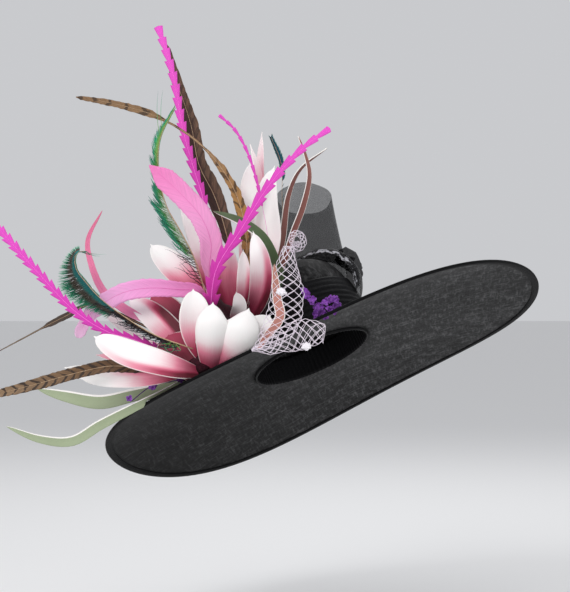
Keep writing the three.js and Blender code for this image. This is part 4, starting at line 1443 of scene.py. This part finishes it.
@dataclass
class SwordFeather(Feather):
    """A peacock sword: a tan shaft with loose barbs of its own."""

    # Share of a gap by which a barb starts early or late, and how quickly clumps change along the feather
    STAGGER = 0.3
    CLUMP_PITCH = 28
    # Ranges of the factors by which single barbs curl and sway
    CURLS = (0.6, 1.4)
    SWAYS = (0.4, 1.6)

    rows: Sequence[BarbRow]
    seed: int = 5
    shaft: float = 1.0

    def build(self) -> None:
        """Makes the barbs of each finish, then the shaft."""
        strip = Strip(self.line, 10)
        chance = random.Random(self.seed)
        finishes = list(dict.fromkeys(row.finish for row in self.rows))
        for number, finish in enumerate(finishes):
            work = Work()
            for row in self.rows:
                if row.finish == finish:
                    self.barbs(work, strip.spine, row, chance)
            nodes = [] if number else [self.name]
            work.piece(f"sword_{self.name}_{number}", finish, nodes, smooth_faces=False)
        self.add_shaft(strip, SHAFT, (0.0, 1.0), self.shaft, 0.6, trimmed=False)

    def barbs(self, work: Work, spine: Spine, row: BarbRow, chance: random.Random) -> None:
        """Adds a row of barbs.

        Args:
            work: the piece.
            spine: the feather's line.
            row: the row.
            chance: the seeded source of their small differences.
        """
        gaps = max(1, row.count - 1)
        for i in range(row.count):
            share = mix(row.start, row.stop, (i + chance.uniform(-self.STAGGER, self.STAGGER)) / gaps)
            place, ahead, face, side = spine.frame(min(0.999, max(0.0, share)), 0.0)
            half = 2 * i / gaps
            first, middle, last = row.long
            long = mix(first, middle, smooth(half)) if half < 1 else mix(middle, last, smooth(half - 1))
            long *= 1 + row.clump * 2 * noise.noise(Vector((share * self.CLUMP_PITCH, row.start * 9, 0)))
            reach = long * chance.uniform(1 - row.loose, 1 + row.loose) * MM
            out = side * row.side
            lean = row.lean + chance.uniform(-1.3, 1.3) * row.loose
            way = out + ahead * lean + face * chance.uniform(-1, 1) * row.spread
            bend = (ahead * row.curl * chance.uniform(*self.CURLS) - out * abs(row.curl) * 0.4) * reach
            turn, wave = chance.uniform(0, 2 * math.pi), row.wave * chance.uniform(*self.SWAYS)
            points = []
            for step in range(len(row.sizes)):
                t = step / (len(row.sizes) - 1)
                sway = ahead * wave * MM * t * (math.sin(6 * t + turn) - math.sin(turn))
                points.append(place + way.normalized() * reach * t + bend * t * t + sway)
            work.rod(points, [row.thick * MM * size for size in row.sizes], 3)


@dataclass
class Feathers:
    """All the feathers of the spray."""

    saws: Sequence[SawFeather] = (
        SawFeather(
            "pink_feather_1",
            ((-148.5, 94.5, -150), (-162, 234, -118), (-174, 273, -105), (-192, 337.5, -85),
             (-207, 420, -62), (-229.5, 493.5, -40)),
            17, 21, 0.8),
        SawFeather(
            "pink_feather_2",
            ((-82.5, 75, -130), (-64.5, 157.5, -150), (-73.5, 225, -165), (-93, 298.5, -174),
             (-114, 337.5, -182), (-138, 360, -195)),
            6, 20, 0.9, start=0.5, shaft=0.35),
        SawFeather(
            "pink_feather_3",
            ((-150, 54, -215), (-150, 76.5, -240), (-142.5, 127.5, -252), (-106.5, 186, -258),
             (-61.5, 256.5, -264), (-12, 310.5, -270), (28.5, 340, -276)),
            27, 15, 0.35),
        SawFeather(
            "pink_feather_4",
            ((-196.5, -7.5, -232), (-264, 22.5, -248), (-304.5, 34.5, -256), (-352.5, 64.5, -260),
             (-418.5, 133.5, -270), (-487.5, 211.5, -284)),
            17, 24, 0.85),
    )
    soft: Sequence[SoftFeather] = (
        SoftFeather(
            "goose_feather_1",
            ((-153, 85.5, -195), (-153, 130, -212), (-150, 168, -220), (-165, 207, -226),
             (-192, 238.5, -232), (-219, 264, -238), (-243, 285, -244)),
            31, vane_shape(0.1, 0.25, 0.0, 0.18, 0.72), SOFT_PINK, turn=(20, 0), shaft_finish=PINK_SHAFT,
            shaft=0.45),
        SoftFeather(
            "goose_feather_2",
            ((-156, 82, -190), (-170, 96, -205), (-196.5, 98, -212), (-241.5, 100.5, -216),
             (-279, 94.5, -218), (-309, 79.5, -214), (-328.5, 64.5, -206), (-351, 26, -196)),
            26, profile_shape(((0, 0.3), (0.15, 0.8), (0.4, 1), (0.7, 0.95), (0.88, 0.6), (0.95, 0.62),
                               (0.985, 0.45), (1, 0.1))),
            PALE_PINK, shaft_finish=PINK_SHAFT, shaft=0.45, seed=8),
        SoftFeather(
            "goose_feather_3",
            ((-181.5, 15, -210), (-249, 52.5, -192), (-274.5, 66, -188), (-310.5, 94.5, -180),
             (-330, 138, -170), (-334.5, 172.5, -160), (-313, 217, -150)),
            14, vane_shape(0.2, 0.3, 0.0, 0.75), ROSE_PINK, shaft_finish=PINK_SHAFT, shaft=0.3, seed=9,
            ragged=0.02),
        SoftFeather(
            "pheasant_feather_1",
            ((-102, 82.5, -140), (-96, 157.5, -146), (-105, 220.5, -148), (-124.5, 265.5, -150),
             (-166.5, 316.5, -156), (-226.5, 355.5, -164), (-286.5, 375, -176), (-352.5, 387, -190)),
            15, profile_shape(((0, 0.3), (0.08, 0.9), (0.3, 1), (0.44, 0.7), (0.55, 0.2), (0.68, 0.22),
                               (0.76, 0.75), (0.88, 0.6), (0.98, 0.4), (1, 0.1))),
            OCHRE, ragged=0.14, shaft=0.7),
        SoftFeather(
            "pheasant_feather_2",
            ((-112.5, 66, -110), (-120, 150, -92), (-130.5, 195, -80), (-145.5, 240, -66),
             (-168, 285, -52), (-180, 345, -36), (-199.5, 405, -18), (-219, 469.5, 2)),
            27, profile_shape(((0, 0.1), (0.18, 0.12), (0.28, 0.8), (0.42, 1), (0.6, 0.85), (0.8, 0.6),
                               (0.96, 0.4), (1, 0.08))),
            MAROON, ragged=0.07, seed=12, shaft=0.8),
        SoftFeather(
            "pheasant_feather_3",
            ((-189, -13.5, -240), (-240, -17, -262), (-267, -18, -272), (-301.5, -16.5, -276),
             (-346.5, -25.5, -281), (-406.5, -42, -290), (-481.5, -61.5, -302)),
            16.5, vane_shape(0.1, 0.5, 0.4, 0.3), BARRED, ragged=0.08, seed=13, shaft=0.6),
        SoftFeather(
            "pheasant_feather_4",
            ((-181.5, 7.5, -212), (-250, 44, -180), (-331.5, 75, -174), (-367.5, 58.5, -170),
             (-391.5, 46.5, -166), (-436.5, 22.5, -158), (-484.5, -3, -148)),
            9, profile_shape(((0, 0.3), (0.5, 0.5), (0.57, 1), (0.66, 0.9), (0.74, 0.25), (1, 0.12))),
            QUILL, ragged=0.12, seed=14, shaft=0.6),
    )
    swords: Sequence[SwordFeather] = (
        SwordFeather(
            "peacock_feather_1",
            ((-156, 82, -185), (-172.5, 139.5, -196), (-196.5, 187.5, -199), (-216, 222, -199),
             (-228, 270, -192), (-226.5, 322.5, -184), (-204, 372, -176)),
            (BarbRow(0.54, 0.9, 150, -1, (15, 15, 8), SWORD_GREEN, 0.9, 0.5, thick=0.6, clump=0.3),
             BarbRow(0.2, 0.56, 135, -1, (33, 31, 17), SWORD_GREEN, 1.0, 0.45, thick=0.62, spread=0.25,
                     clump=0.14, wave=1.2, sizes=LOOSE_BARB),
             BarbRow(0.86, 1.0, 60, -1, (8, 6, 3), SWORD_GREEN, 1.4, thick=0.5),
             BarbRow(0.5, 0.98, 90, 1, (2, 4, 5), SWORD_GREEN, 2.4),
             BarbRow(0.84, 0.87, 2, -1, (50, 54, 58), SWORD_GREEN, 1.5, 0.35, thick=0.4),
             BarbRow(0.07, 0.27, 20, -1, (24, 34, 26), SWORD_DARK, 0.55, 0.3, thick=0.6, spread=0.7,
                     wave=6, loose=0.4))),
        SwordFeather(
            "peacock_feather_2",
            ((-168, 6, -246), (-189, 13.5, -264), (-234, 30, -260), (-279, 57, -246), (-318, 87, -238),
             (-340.5, 112.5, -232), (-351, 126, -228), (-354.5, 144, -224), (-350, 154, -220),
             (-338, 156, -216)),
            (BarbRow(0.54, 0.965, 400, -1, (18, 35, 8), SWORD_EYE, 0.22, 0.12, thick=0.6, spread=0.15),
             BarbRow(0.65, 1.0, 70, 1, (4, 5, 4), SWORD_EYE, 1.2, thick=0.5),
             BarbRow(0.97, 1.0, 7, 1, (10, 16, 22), SWORD_EYE, 1.0, 0.6, thick=0.3, spread=0.7),
             BarbRow(0.16, 0.58, 170, -1, (5, 8, 8), SWORD_DARK, 0.7, 0.3, thick=0.6, spread=0.3),
             BarbRow(0.13, 0.58, 68, -1, (17, 16, 15), SWORD_DARK, 0.3, 0.6, thick=0.75, spread=0.6,
                     wave=6.5, loose=0.42),
             BarbRow(0.14, 0.19, 13, -1, (16, 17, 14), SWORD_GREEN, -0.3, 0.3, thick=0.6, spread=0.8,
                     wave=7, loose=0.45))),
        SwordFeather(
            "peacock_feather_3",
            ((-90, 68, -126), (-58, 125, -112), (-43.5, 187.5, -102), (-43.5, 240, -94), (-45, 288, -84),
             (-60, 327, -72)),
            (BarbRow(0.76, 1.0, 110, -1, (5, 6, 4), SWORD_BLUE, 1.0, thick=0.6),
             BarbRow(0.74, 1.0, 110, 1, (7, 8, 5), SWORD_BLUE, 1.0, thick=0.6),
             BarbRow(0.42, 0.74, 12, 1, (5, 6, 6), SWORD_BLUE, 1.2)),
            seed=6, shaft=0.7),
    )

    def build(self) -> None:
        """Makes every feather in turn."""
        for feather in (*self.saws, *self.soft, *self.swords):
            feather.build()


# Flowers and leaves


class Blush(Enum):
    """How far the rose colour reaches up a petal: tone at the base, and the share along where it ends."""

    WHITE = (0.72, 0.6)
    DIPPED = (0.85, 0.85)
    PINK = (0.8, 1.35)
    ROSE = (0.9, 1.8)
    DEEP = (1.0, 3.2)


@dataclass
class Petal:
    """One foam petal. Sizes in millimetres, turns in degrees.

    side deepens the rose on one side of it, the right one if positive.
    """

    name: str
    line: Sequence[Triple]
    width: float
    widest: float
    cup: float
    turn: float
    blush: Blush
    side: float = 0.0
    base: float = 0.35
    round_off: float = 0.6
    thick: float = 2.0

    def tone(self, across: float, along: float, rear: bool) -> float:
        """Gives the tone stored at a place on the petal.

        Args:
            across: from -1 at the left edge to 1 at the right.
            along: share along.
            rear: whether it is the rear skin, which has the same tone.

        Returns:
            The tone, from white at 0 to deep rose at 1.
        """
        deepest, reach = self.blush.value
        fade = deepest * (1 - smooth(along / reach))
        towards = smooth(across * math.copysign(1.6, self.side))
        return min(1.0, fade + abs(self.side) * towards * smooth((1.05 - along) * 1.8))

    def build(self) -> None:
        """Makes the petal."""
        work = Work()
        strip = Strip(self.line, self.width, turn=(self.turn, self.turn), cup=self.cup, thick=self.thick,
                      columns=16)
        strip.build(work, even(40, petal_shape(self.widest, self.base, self.round_off), 0.6), self.tone)
        BRIM.trim(work)
        work.piece(f"foam_{self.name}", PETAL, [self.name])


PETALS: Sequence[Petal] = (
    Petal("front_petal_1", ((-152, -19.5, -262), (-148, 22.5, -290), (-149, 55.5, -300), (-147, 79, -288)),
          46, 0.5, -7, 0, Blush.WHITE, base=0.5, round_off=0.5),
    Petal("front_petal_2", ((-139.5, -16.5, -262), (-119, 12, -290), (-103, 43, -300), (-93, 70, -286)),
          58, 0.5, -9, -10, Blush.WHITE, base=0.5),
    Petal("front_petal_3", ((-129, -10.5, -255), (-95, 20, -268), (-76, 42, -266), (-60.5, 60, -256)),
          44, 0.55, 4, -20, Blush.DIPPED, 0.2),
    Petal("front_petal_4", ((-160, -7.5, -250), (-173, 37.5, -255), (-175, 72, -250), (-177, 99, -240)),
          43, 0.55, 5, 10, Blush.DIPPED),
    Petal("left_petal_1", ((-169.5, -27, -258), (-219, -16, -296), (-279, 2, -306), (-326, 28, -300)),
          42, 0.62, 5, 35, Blush.WHITE, -0.55, round_off=0.45),
    Petal("left_petal_2", ((-184, -25, -248), (-241.5, -32, -262), (-301.5, -35.5, -262), (-348, -35, -256)),
          26, 0.5, 3, -20, Blush.DIPPED, 0.2, round_off=0.5),
    Petal("left_petal_3", ((-184, -22, -244), (-286.5, -27, -238), (-331.5, -22.5, -230), (-370, -19, -222)),
          24, 0.6, 2, -40, Blush.WHITE),
    Petal("left_petal_4", ((-186, -8, -236), (-241.5, -8, -222), (-286.5, -4.5, -212), (-322.5, 0, -204)),
          20, 0.5, 2, 40, Blush.ROSE),
    Petal("left_petal_5", ((-174, 4.5, -214), (-208, 32, -204), (-241.5, 62, -190), (-274.5, 87, -176)),
          38, 0.5, 5, 15, Blush.DIPPED, 0.85),
    Petal("left_petal_6", ((-176, 12, -195), (-198, 42, -176), (-218, 66, -162), (-240, 90, -150)),
          46, 0.6, 5, 10, Blush.DEEP),
    Petal("left_petal_7", ((-178, 0, -210), (-241.5, 15, -184), (-286.5, 45, -172), (-316.5, 76.5, -162),
                           (-328.5, 102, -152)), 16, 0.5, 1, 40, Blush.WHITE),
    Petal("left_petal_8", ((-169.5, -34.5, -252), (-187, -9, -250), (-204, 12, -242), (-214, 30, -230)),
          56, 0.6, 9, 0, Blush.DEEP),
    Petal("top_petal_1", ((-99, 64.5, -128), (-96, 142.5, -124), (-96, 210, -122), (-93, 255, -127),
                          (-91.5, 289, -136)), 27, 0.75, 4, 0, Blush.WHITE, -0.15),
    Petal("top_petal_2", ((-88, 72, -132), (-63, 172.5, -118), (-66, 225, -108), (-61.5, 262.5, -100),
                          (-54, 284, -92)), 42, 0.55, 5, -25, Blush.WHITE, -0.12),
    Petal("top_petal_3", ((-90, 54, -155), (-75, 97.5, -188), (-75, 139.5, -200), (-87, 186, -190)),
          32, 0.5, 6, -10, Blush.DIPPED, 0.5),
    Petal("top_petal_4", ((-104, 58, -158), (-100.5, 105, -184), (-102, 159, -188)),
          21, 0.5, 4, 5, Blush.DIPPED, 0.35),
    Petal("top_petal_5", ((-122, 60, -165), (-129, 120, -180), (-127.5, 168, -172)),
          38, 0.6, 5, 10, Blush.PINK, -0.2),
    Petal("top_petal_6", ((-116, 46, -185), (-107, 73.5, -206), (-112.5, 95, -204)),
          21, 0.5, 3, 0, Blush.WHITE),
    Petal("top_petal_7", ((-159, 78, -180), (-194, 118, -172), (-226, 150, -158), (-241, 166, -148)),
          40, 0.5, 7, 20, Blush.DIPPED, -0.12),
    Petal("top_petal_8", ((-148.5, 80, -170), (-157.5, 157.5, -150), (-176, 214, -128), (-192, 237, -112)),
          50, 0.6, 7, 20, Blush.WHITE, -0.1),
    Petal("top_petal_9", ((-98, 72, -108), (-82.5, 202.5, -96), (-79.5, 270, -84), (-91.5, 316.5, -70)),
          18, 0.6, 1, 45, Blush.PINK, 0.1),
    Petal("top_petal_10", ((-94, 72, -92), (-75, 202.5, -72), (-76.5, 270, -56), (-73.5, 334.5, -40)),
          20, 0.6, 1, -40, Blush.PINK, 0.15),
)


@dataclass
class Leaf:
    """One foam leaf, green on one side and salmon on the other. Sizes in millimetres.

    front and rear are the tones of its two sides. pale names a side whose cut edge shows: 1 right, -1 left.
    """

    # Factors of what is stored as the rim on the side whose edge shows, and on the other
    SHOWN_EDGE = 1.15
    HIDDEN_EDGE = 0.8

    name: str
    line: Sequence[Triple]
    width: float
    widest: float
    front: float = 0.0
    rear: float = 0.75
    turn: tuple[float, float] = (0.0, 0.0)
    pale: int = 0
    base: float = 0.3

    def tone(self, across: float, along: float, rear: bool) -> float:
        """Gives the side's colour, a little darker towards the base."""
        return (self.rear if rear else self.front) + 0.08 * (1 - along)

    def build(self) -> None:
        """Makes the leaf."""
        work = Work()
        strip = Strip(self.line, self.width, turn=self.turn, cup=1.2, thick=2.0, columns=12)
        strip.build(work, even(44, petal_shape(self.widest, self.base, 0.62, 0.99), 0.4), self.tone)
        if self.pale:
            for vert in work.bm.verts:
                vert[work.rim] *= self.SHOWN_EDGE if vert[work.lay].x * self.pale > 0 else self.HIDDEN_EDGE
        BRIM.trim(work)
        work.piece(f"foam_{self.name}", LEAF, [self.name])


LEAVES: Sequence[Leaf] = (
    Leaf("leaf_1", ((-178, -26, -225), (-226.5, -49.5, -214), (-271.5, -61.5, -206), (-316.5, -70.5, -198),
                    (-369, -61.5, -188), (-409.5, -51.5, -178)), 19.5, 0.6, pale=1),
    Leaf("leaf_2", ((-178, -30, -232), (-219, -55, -236), (-264, -78, -236), (-316.5, -105, -238),
                    (-358.5, -129, -242), (-406.5, -126, -250), (-457.5, -107, -260)), 14, 0.6, pale=1),
    Leaf("leaf_3", ((-88, 66, -155), (-48, 112.5, -172), (-54, 139.5, -176), (-73.5, 177, -182),
                    (-106.5, 201, -192), (-147, 216, -206)), 15, 0.5, front=0.28, pale=-1),
    Leaf("leaf_4", ((-80, 6, -326), (-69, 25, -334), (-52, 46, -337), (-46, 60, -338), (-50, 80, -337),
                    (-52.5, 102, -336), (-55, 137, -332)), 13, 0.5, front=0.47, rear=0.1, base=0.25),
    Leaf("leaf_5", ((-82, 62, -122), (-55, 120, -118), (-43.5, 175.5, -110), (-34.5, 240, -98),
                    (-16.5, 279, -84), (24, 310.5, -66)), 12, 0.45, front=0.76, rear=0.05, turn=(0, 75)),
    Leaf("leaf_6", ((-84, 62, -140), (-46.5, 127.5, -138), (-27, 184.5, -138), (-12, 225, -140),
                    (-3, 270, -146), (-9, 300, -154), (-19.5, 328.5, -164)), 11, 0.5, front=0.7, rear=0.1,
         turn=(30, 40)),
)


@dataclass
class Sprig:
    """A sprig of small florets on a stem. Sizes in millimetres."""

    name: str
    stem: Sequence[Triple]
    florets: Sequence[Triple]
    each: int
    scatter: float = 5.0
    radius: float = 4.4
    stem_radius: float = 0.7
    stem_rows: int = 40
    seed: int = 21

    # Least width of a lobe as a share of the whole, its thickness and how far its tips bend forward
    LOBE_LOW = 0.62
    THICK = 0.16
    BEND = 0.3

    def build(self) -> None:
        """Makes the stem and a cluster of florets round each table place."""
        work = Work()
        chance = random.Random(self.seed)
        for place in self.florets:
            for _ in range(self.each):
                off = Vector([chance.gauss(0, 0.45) for _ in range(3)]) * self.scatter * MM
                self.floret(work, seen(*place) + off, chance)
        work.piece(f"florets_{self.name}", FLORET, [self.name], smooth_faces=False)
        twig = Work()
        spine = Spine(self.stem)
        points = [spine.at(row / self.stem_rows) for row in range(self.stem_rows + 1)]
        twig.rod(points, [self.stem_radius * MM] * len(points))
        BRIM.trim(twig)
        twig.piece(f"stem_{self.name}", TWIG)

    def floret(self, work: Work, middle: Vector, chance: random.Random) -> None:
        """Adds one four-lobed floret.

        Args:
            work: the piece.
            middle: its place.
            chance: the seeded source of its size and lean.
        """
        size = self.radius * MM * chance.uniform(0.75, 1.15)
        lean = Vector((chance.uniform(-0.8, 0.8), -1, chance.uniform(-0.6, 0.9))).normalized()
        turn = lean.to_track_quat("Z", "Y").to_matrix()
        verts = bmesh.ops.create_cone(work.bm, cap_ends=True, cap_tris=True, segments=16, radius1=1,
                                      radius2=1, depth=self.THICK)["verts"]
        spin = chance.uniform(0, math.pi)
        for vert in verts:
            angle, reach = math.atan2(vert.co.y, vert.co.x), math.hypot(vert.co.x, vert.co.y)
            wide = reach * mix(self.LOBE_LOW, 1, abs(math.cos(2 * angle)) ** 0.6)
            flat = Vector((wide * math.cos(angle + spin), wide * math.sin(angle + spin),
                           vert.co.z + self.BEND * reach * reach))
            vert.co = middle + turn @ flat * size


# Net


@dataclass
class NetSleeve:
    """A sleeve of diagonal net.

    rows give left, right, up, depth and half its thickness, or none where its surface comes from elsewhere.
    around and along count its meshes.
    """

    # What keeps a thread's sway across, in depth and up apart, how fast it changes, and its share in depth
    SWAY_SHIFTS = (0.0, 9.3, 21.7)
    SWAY_PITCH = 55
    SWAY_DEPTH = 0.5

    name: str
    rows: Sequence[tuple[float, float, float, float, float]]
    around: int
    along: int
    thread: float = 0.7
    sway: float = 2.4
    nodes: Sequence[str] = ()

    def point(self, across: float, along: float) -> Vector:
        """Gives a place on the sleeve.

        Args:
            across: share of the way round.
            along: share along.

        Returns:
            The place in metres.
        """
        left, right, up, depth, half = eased(self.rows, along)
        angle = 2 * math.pi * across
        side = mix(left, right, (1 - math.cos(angle)) / 2)
        return seen(side, up, depth - half * math.sin(angle))

    def build(self) -> bpy.types.Object:
        """Makes the net: a sleeve of diamonds whose edges become threads."""
        return self.weave(self.point)

    def weave(self, point: Callable[[float, float], Vector]) -> bpy.types.Object:
        """Turns a surface into net.

        Args:
            point: gives a place from the shares round and along.

        Returns:
            The piece.
        """
        work = Work()
        work.grid(self.around, self.along)
        bm = work.bm
        old = [edge for edge in bm.edges if not edge.is_boundary]
        bmesh.ops.poke(bm, faces=bm.faces[:])
        bmesh.ops.dissolve_edges(bm, edges=old, use_verts=False)
        seam = {edge for edge in bm.edges if all(abs(vert.co.x) > 0.999 for vert in edge.verts)}
        marks = [vert for edge in seam for vert in edge.verts]
        for vert in bm.verts:
            place = point((vert.co.x + 1) / 2, (vert.co.y + 1) / 2)
            at = place * self.SWAY_PITCH
            x, y, z = (noise.noise(at + Vector((shift, 0, 0))) for shift in self.SWAY_SHIFTS)
            vert.co = place + Vector((x, y * self.SWAY_DEPTH, z)) * self.sway * MM
        work.weld(set(marks), 2e-5)
        joined = [edge for edge in bm.edges if len(edge.link_faces) == 2
                  and all(len(face.verts) == 3 for face in edge.link_faces)]
        bmesh.ops.dissolve_edges(bm, edges=joined, use_verts=False)
        bmesh.ops.wireframe(bm, faces=bm.faces[:], thickness=self.thread * MM, offset=0, use_replace=True,
                            use_boundary=True, use_even_offset=True)
        return work.piece(self.name, NET, self.nodes)


@dataclass
class Veil:
    """The pale net over the brim's front edge, with its curl at the top and its two tufts."""

    body: Sequence[tuple[float, float, float, float, float]] = (
        (-42, -25, 162, -318, 6), (-51, -23, 142, -324, 7), (-56, -16, 122, -332, 10),
        (-60, -11, 100, -336, 12), (-63, -11, 76, -339, 12), (-69, -14, 54, -341, 11),
        (-77, -24, 34, -343, 9), (-84, -44, 16, -345, 5), (-88, -76, 7, -346, 2))
    lobe_axis: Sequence[Triple] = (
        (-88, 6, -346), (-60, 14, -347), (-30, 27, -348), (0, 33, -347), (19, 32, -345))
    lobe_half: Sequence[float] = (2, 11, 18, 20, 12)
    curl_centre: Triple = (-22.5, 172.5, -318)
    curl_radius: float = 13.0
    curl_half: float = 11.0
    curl_turns: tuple[float, float] = (-130, 330)
    curl_walls: tuple[float, float] = (4.8, 3.0)
    curl_end: float = 0.4
    tufts: Sequence[Triple] = ((-45, 94.5, -348), (-7, 13, -352))
    tuft_half: Triple = (6.0, 3.6, 4.6)
    tuft_lumps: Sequence[tuple[float, float]] = ((0.45, 2.2), (0.22, 7))

    def build(self) -> None:
        """Makes the sleeve, its lobe, the curl and the tufts."""
        NetSleeve("net_body", self.body, 8, 14, nodes=["veil_net"]).build()
        NetSleeve("net_lobe", (), 8, 9).weave(self.lobe_point)
        NetSleeve("net_curl", (), 5, 12, thread=0.6, sway=1.4, nodes=["veil_curl"]).weave(self.curl_point)
        self.knots()

    def lobe_point(self, across: float, along: float) -> Vector:
        """Gives a place on the lobe whose open end lies to the right.

        Args:
            across: share of the way round.
            along: share along.

        Returns:
            The place in metres.
        """
        place, _, face, side = Spine(self.lobe_axis).frame(along, 0)
        share = along * (len(self.lobe_half) - 1)
        low = min(int(share), len(self.lobe_half) - 2)
        half = mix(self.lobe_half[low], self.lobe_half[low + 1], share - low)
        angle = 2 * math.pi * across
        return place + (side * math.cos(angle) * half + face * math.sin(angle) * (2 + half * 0.3)) * MM

    def curl_point(self, across: float, along: float) -> Vector:
        """Gives a place on the curl, a sleeve wound more than once round a ring.

        Args:
            across: share of the way round the sleeve.
            along: share along it.

        Returns:
            The place in metres.
        """
        turn = math.radians(mix(*self.curl_turns, along))
        centre = seen(*self.curl_centre)
        out = Vector((math.cos(turn), 0, math.sin(turn)))
        angle = 2 * math.pi * across
        half = mix(*self.curl_walls, along)
        reach = mix(self.curl_radius - 2, self.curl_radius * self.curl_end, smooth(along))
        return centre + (out * (reach + half * math.cos(angle))
                         + Vector((0, 1, 0)) * self.curl_half * math.sin(angle)) * MM

    def knots(self) -> None:
        """Makes the two small white tufts."""
        for number, place in enumerate(self.tufts, 1):
            work = Work()
            bmesh.ops.create_icosphere(work.bm, subdivisions=4, radius=1)
            for vert in work.bm.verts:
                large, fine = self.tuft_lumps
                swell = 1 + large[0] * noise.noise(vert.co * large[1] + Vector((number * 5, 0, 0)))
                swell += fine[0] * noise.noise(vert.co * fine[1])
                lump = Vector([value * half for value, half in zip(vert.co, self.tuft_half)])
                vert.co = seen(*place) + lump * swell * MM
            work.piece(f"white_tuft_{number}", FLUFF, [f"tuft_{number}"])


SPRIGS: Sequence[Sprig] = (
    Sprig("sprig_right", ((16, 20, -300), (20, 62, -305), (10, 78, -306), (-4, 90, -305)),
          ((20, 78, -308), (32, 84, -307), (39, 74, -306), (28, 69, -311), (12, 70, -310), (0, 82, -309),
           (-8, 94, -307), (18, 60, -306), (6, 62, -308)), 5),
    Sprig("sprig_left", ((-181.5, -20, -236), (-200, -37, -243), (-238, -46, -244), (-269, -69, -240)),
          ((-204, -33, -246), (-196, -36, -247), (-248, -40, -246), (-238, -47, -248), (-231, -41, -245),
           (-272, -67, -243)), 3, seed=22),
)


# Studio


@dataclass
class Lamp:
    """A round soft lamp that looks at the middle of the hat. Metres and watts."""

    name: str
    place: Triple
    power: float
    size: float = 1.4
    aim: Triple = (-0.05, -0.1, 0.1)

    def build(self) -> None:
        """Hangs the lamp."""
        data = bpy.data.lights.new(self.name, "AREA")
        data.shape = "DISK"
        data.size = self.size
        data.energy = self.power
        lamp = bpy.data.objects.new(self.name, data)
        lamp.location = self.place
        lamp.rotation_euler = (Vector(self.aim) - Vector(self.place)).to_track_quat("-Z", "Y").to_euler()
        bpy.context.scene.collection.objects.link(lamp)


@dataclass
class Studio:
    """A plain pale floor, soft light and the camera at the photograph's angle. Metres."""

    floor: float = -0.42
    floor_size: float = 30.0
    floor_grey: float = 0.84
    surround: Colour = (0.86, 0.87, 0.9)
    surround_strength: float = 0.68
    picture_tall: float = 0.888
    sensor: float = 36.0
    lamps: Sequence[Lamp] = (Lamp("key", (-1.3, -2.2, 1.7), 38), Lamp("fill", (1.8, -1.5, -0.1), 17),
                             Lamp("back", (0.4, 1.8, 1.9), 18))

    def build(self) -> None:
        """Sets up the floor, the lights and the camera."""
        self.lay_floor()
        self.light()
        self.camera()

    def lay_floor(self) -> None:
        """Lays the floor below the hat, which is held up as on a head."""
        bm = bmesh.new()
        bmesh.ops.create_grid(bm, x_segments=1, y_segments=1, size=self.floor_size)
        bmesh.ops.translate(bm, verts=bm.verts[:], vec=(0, 0, self.floor))
        mesh = bpy.data.meshes.new("floor")
        bm.to_mesh(mesh)
        bm.free()
        made = bpy.data.objects.new("floor", mesh)
        bpy.context.scene.collection.objects.link(made)
        paper = Nodes("floor paper", {"Base Color": (*grey(self.floor_grey), 1), "Roughness": 0.95,
                                      "Specular IOR Level": 0.05})
        made.data.materials.append(paper.material)

    def light(self) -> None:
        """Adds a pale surround and three soft lamps."""
        world = bpy.data.worlds.new("surround")
        world.use_nodes = True
        back = world.node_tree.nodes["Background"]
        back.inputs["Color"].default_value = (*self.surround, 1)
        back.inputs["Strength"].default_value = self.surround_strength
        bpy.context.scene.world = world
        bpy.context.scene.view_settings.view_transform = "Standard"
        for lamp in self.lamps:
            lamp.build()

    def camera(self) -> None:
        """Sets the camera level at the tables' eye."""
        data = bpy.data.cameras.new("camera")
        data.sensor_width = self.sensor
        data.lens = self.sensor * EYE_DISTANCE * MM / self.picture_tall
        made = bpy.data.objects.new("camera", data)
        made.location = (EYE_ACROSS * MM, -EYE_DISTANCE * MM, EYE_UP * MM)
        made.rotation_euler = (math.radians(90), 0, 0)
        bpy.context.scene.collection.objects.link(made)
        bpy.context.scene.camera = made


def main() -> None:
    """Builds the studio and every sub-assembly in order."""
    logging.basicConfig(level=logging.INFO, format="%(name)s: %(message)s")
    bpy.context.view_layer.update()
    Studio().build()
    BRIM.build()
    Crown().build()
    SheerTrim().build()
    StemPad().build()
    Feathers().build()
    for petal in PETALS:
        petal.build()
    for leaf in LEAVES:
        leaf.build()
    for sprig in SPRIGS:
        sprig.build()
    Veil().build()


if __name__ == "__main__":
    main()
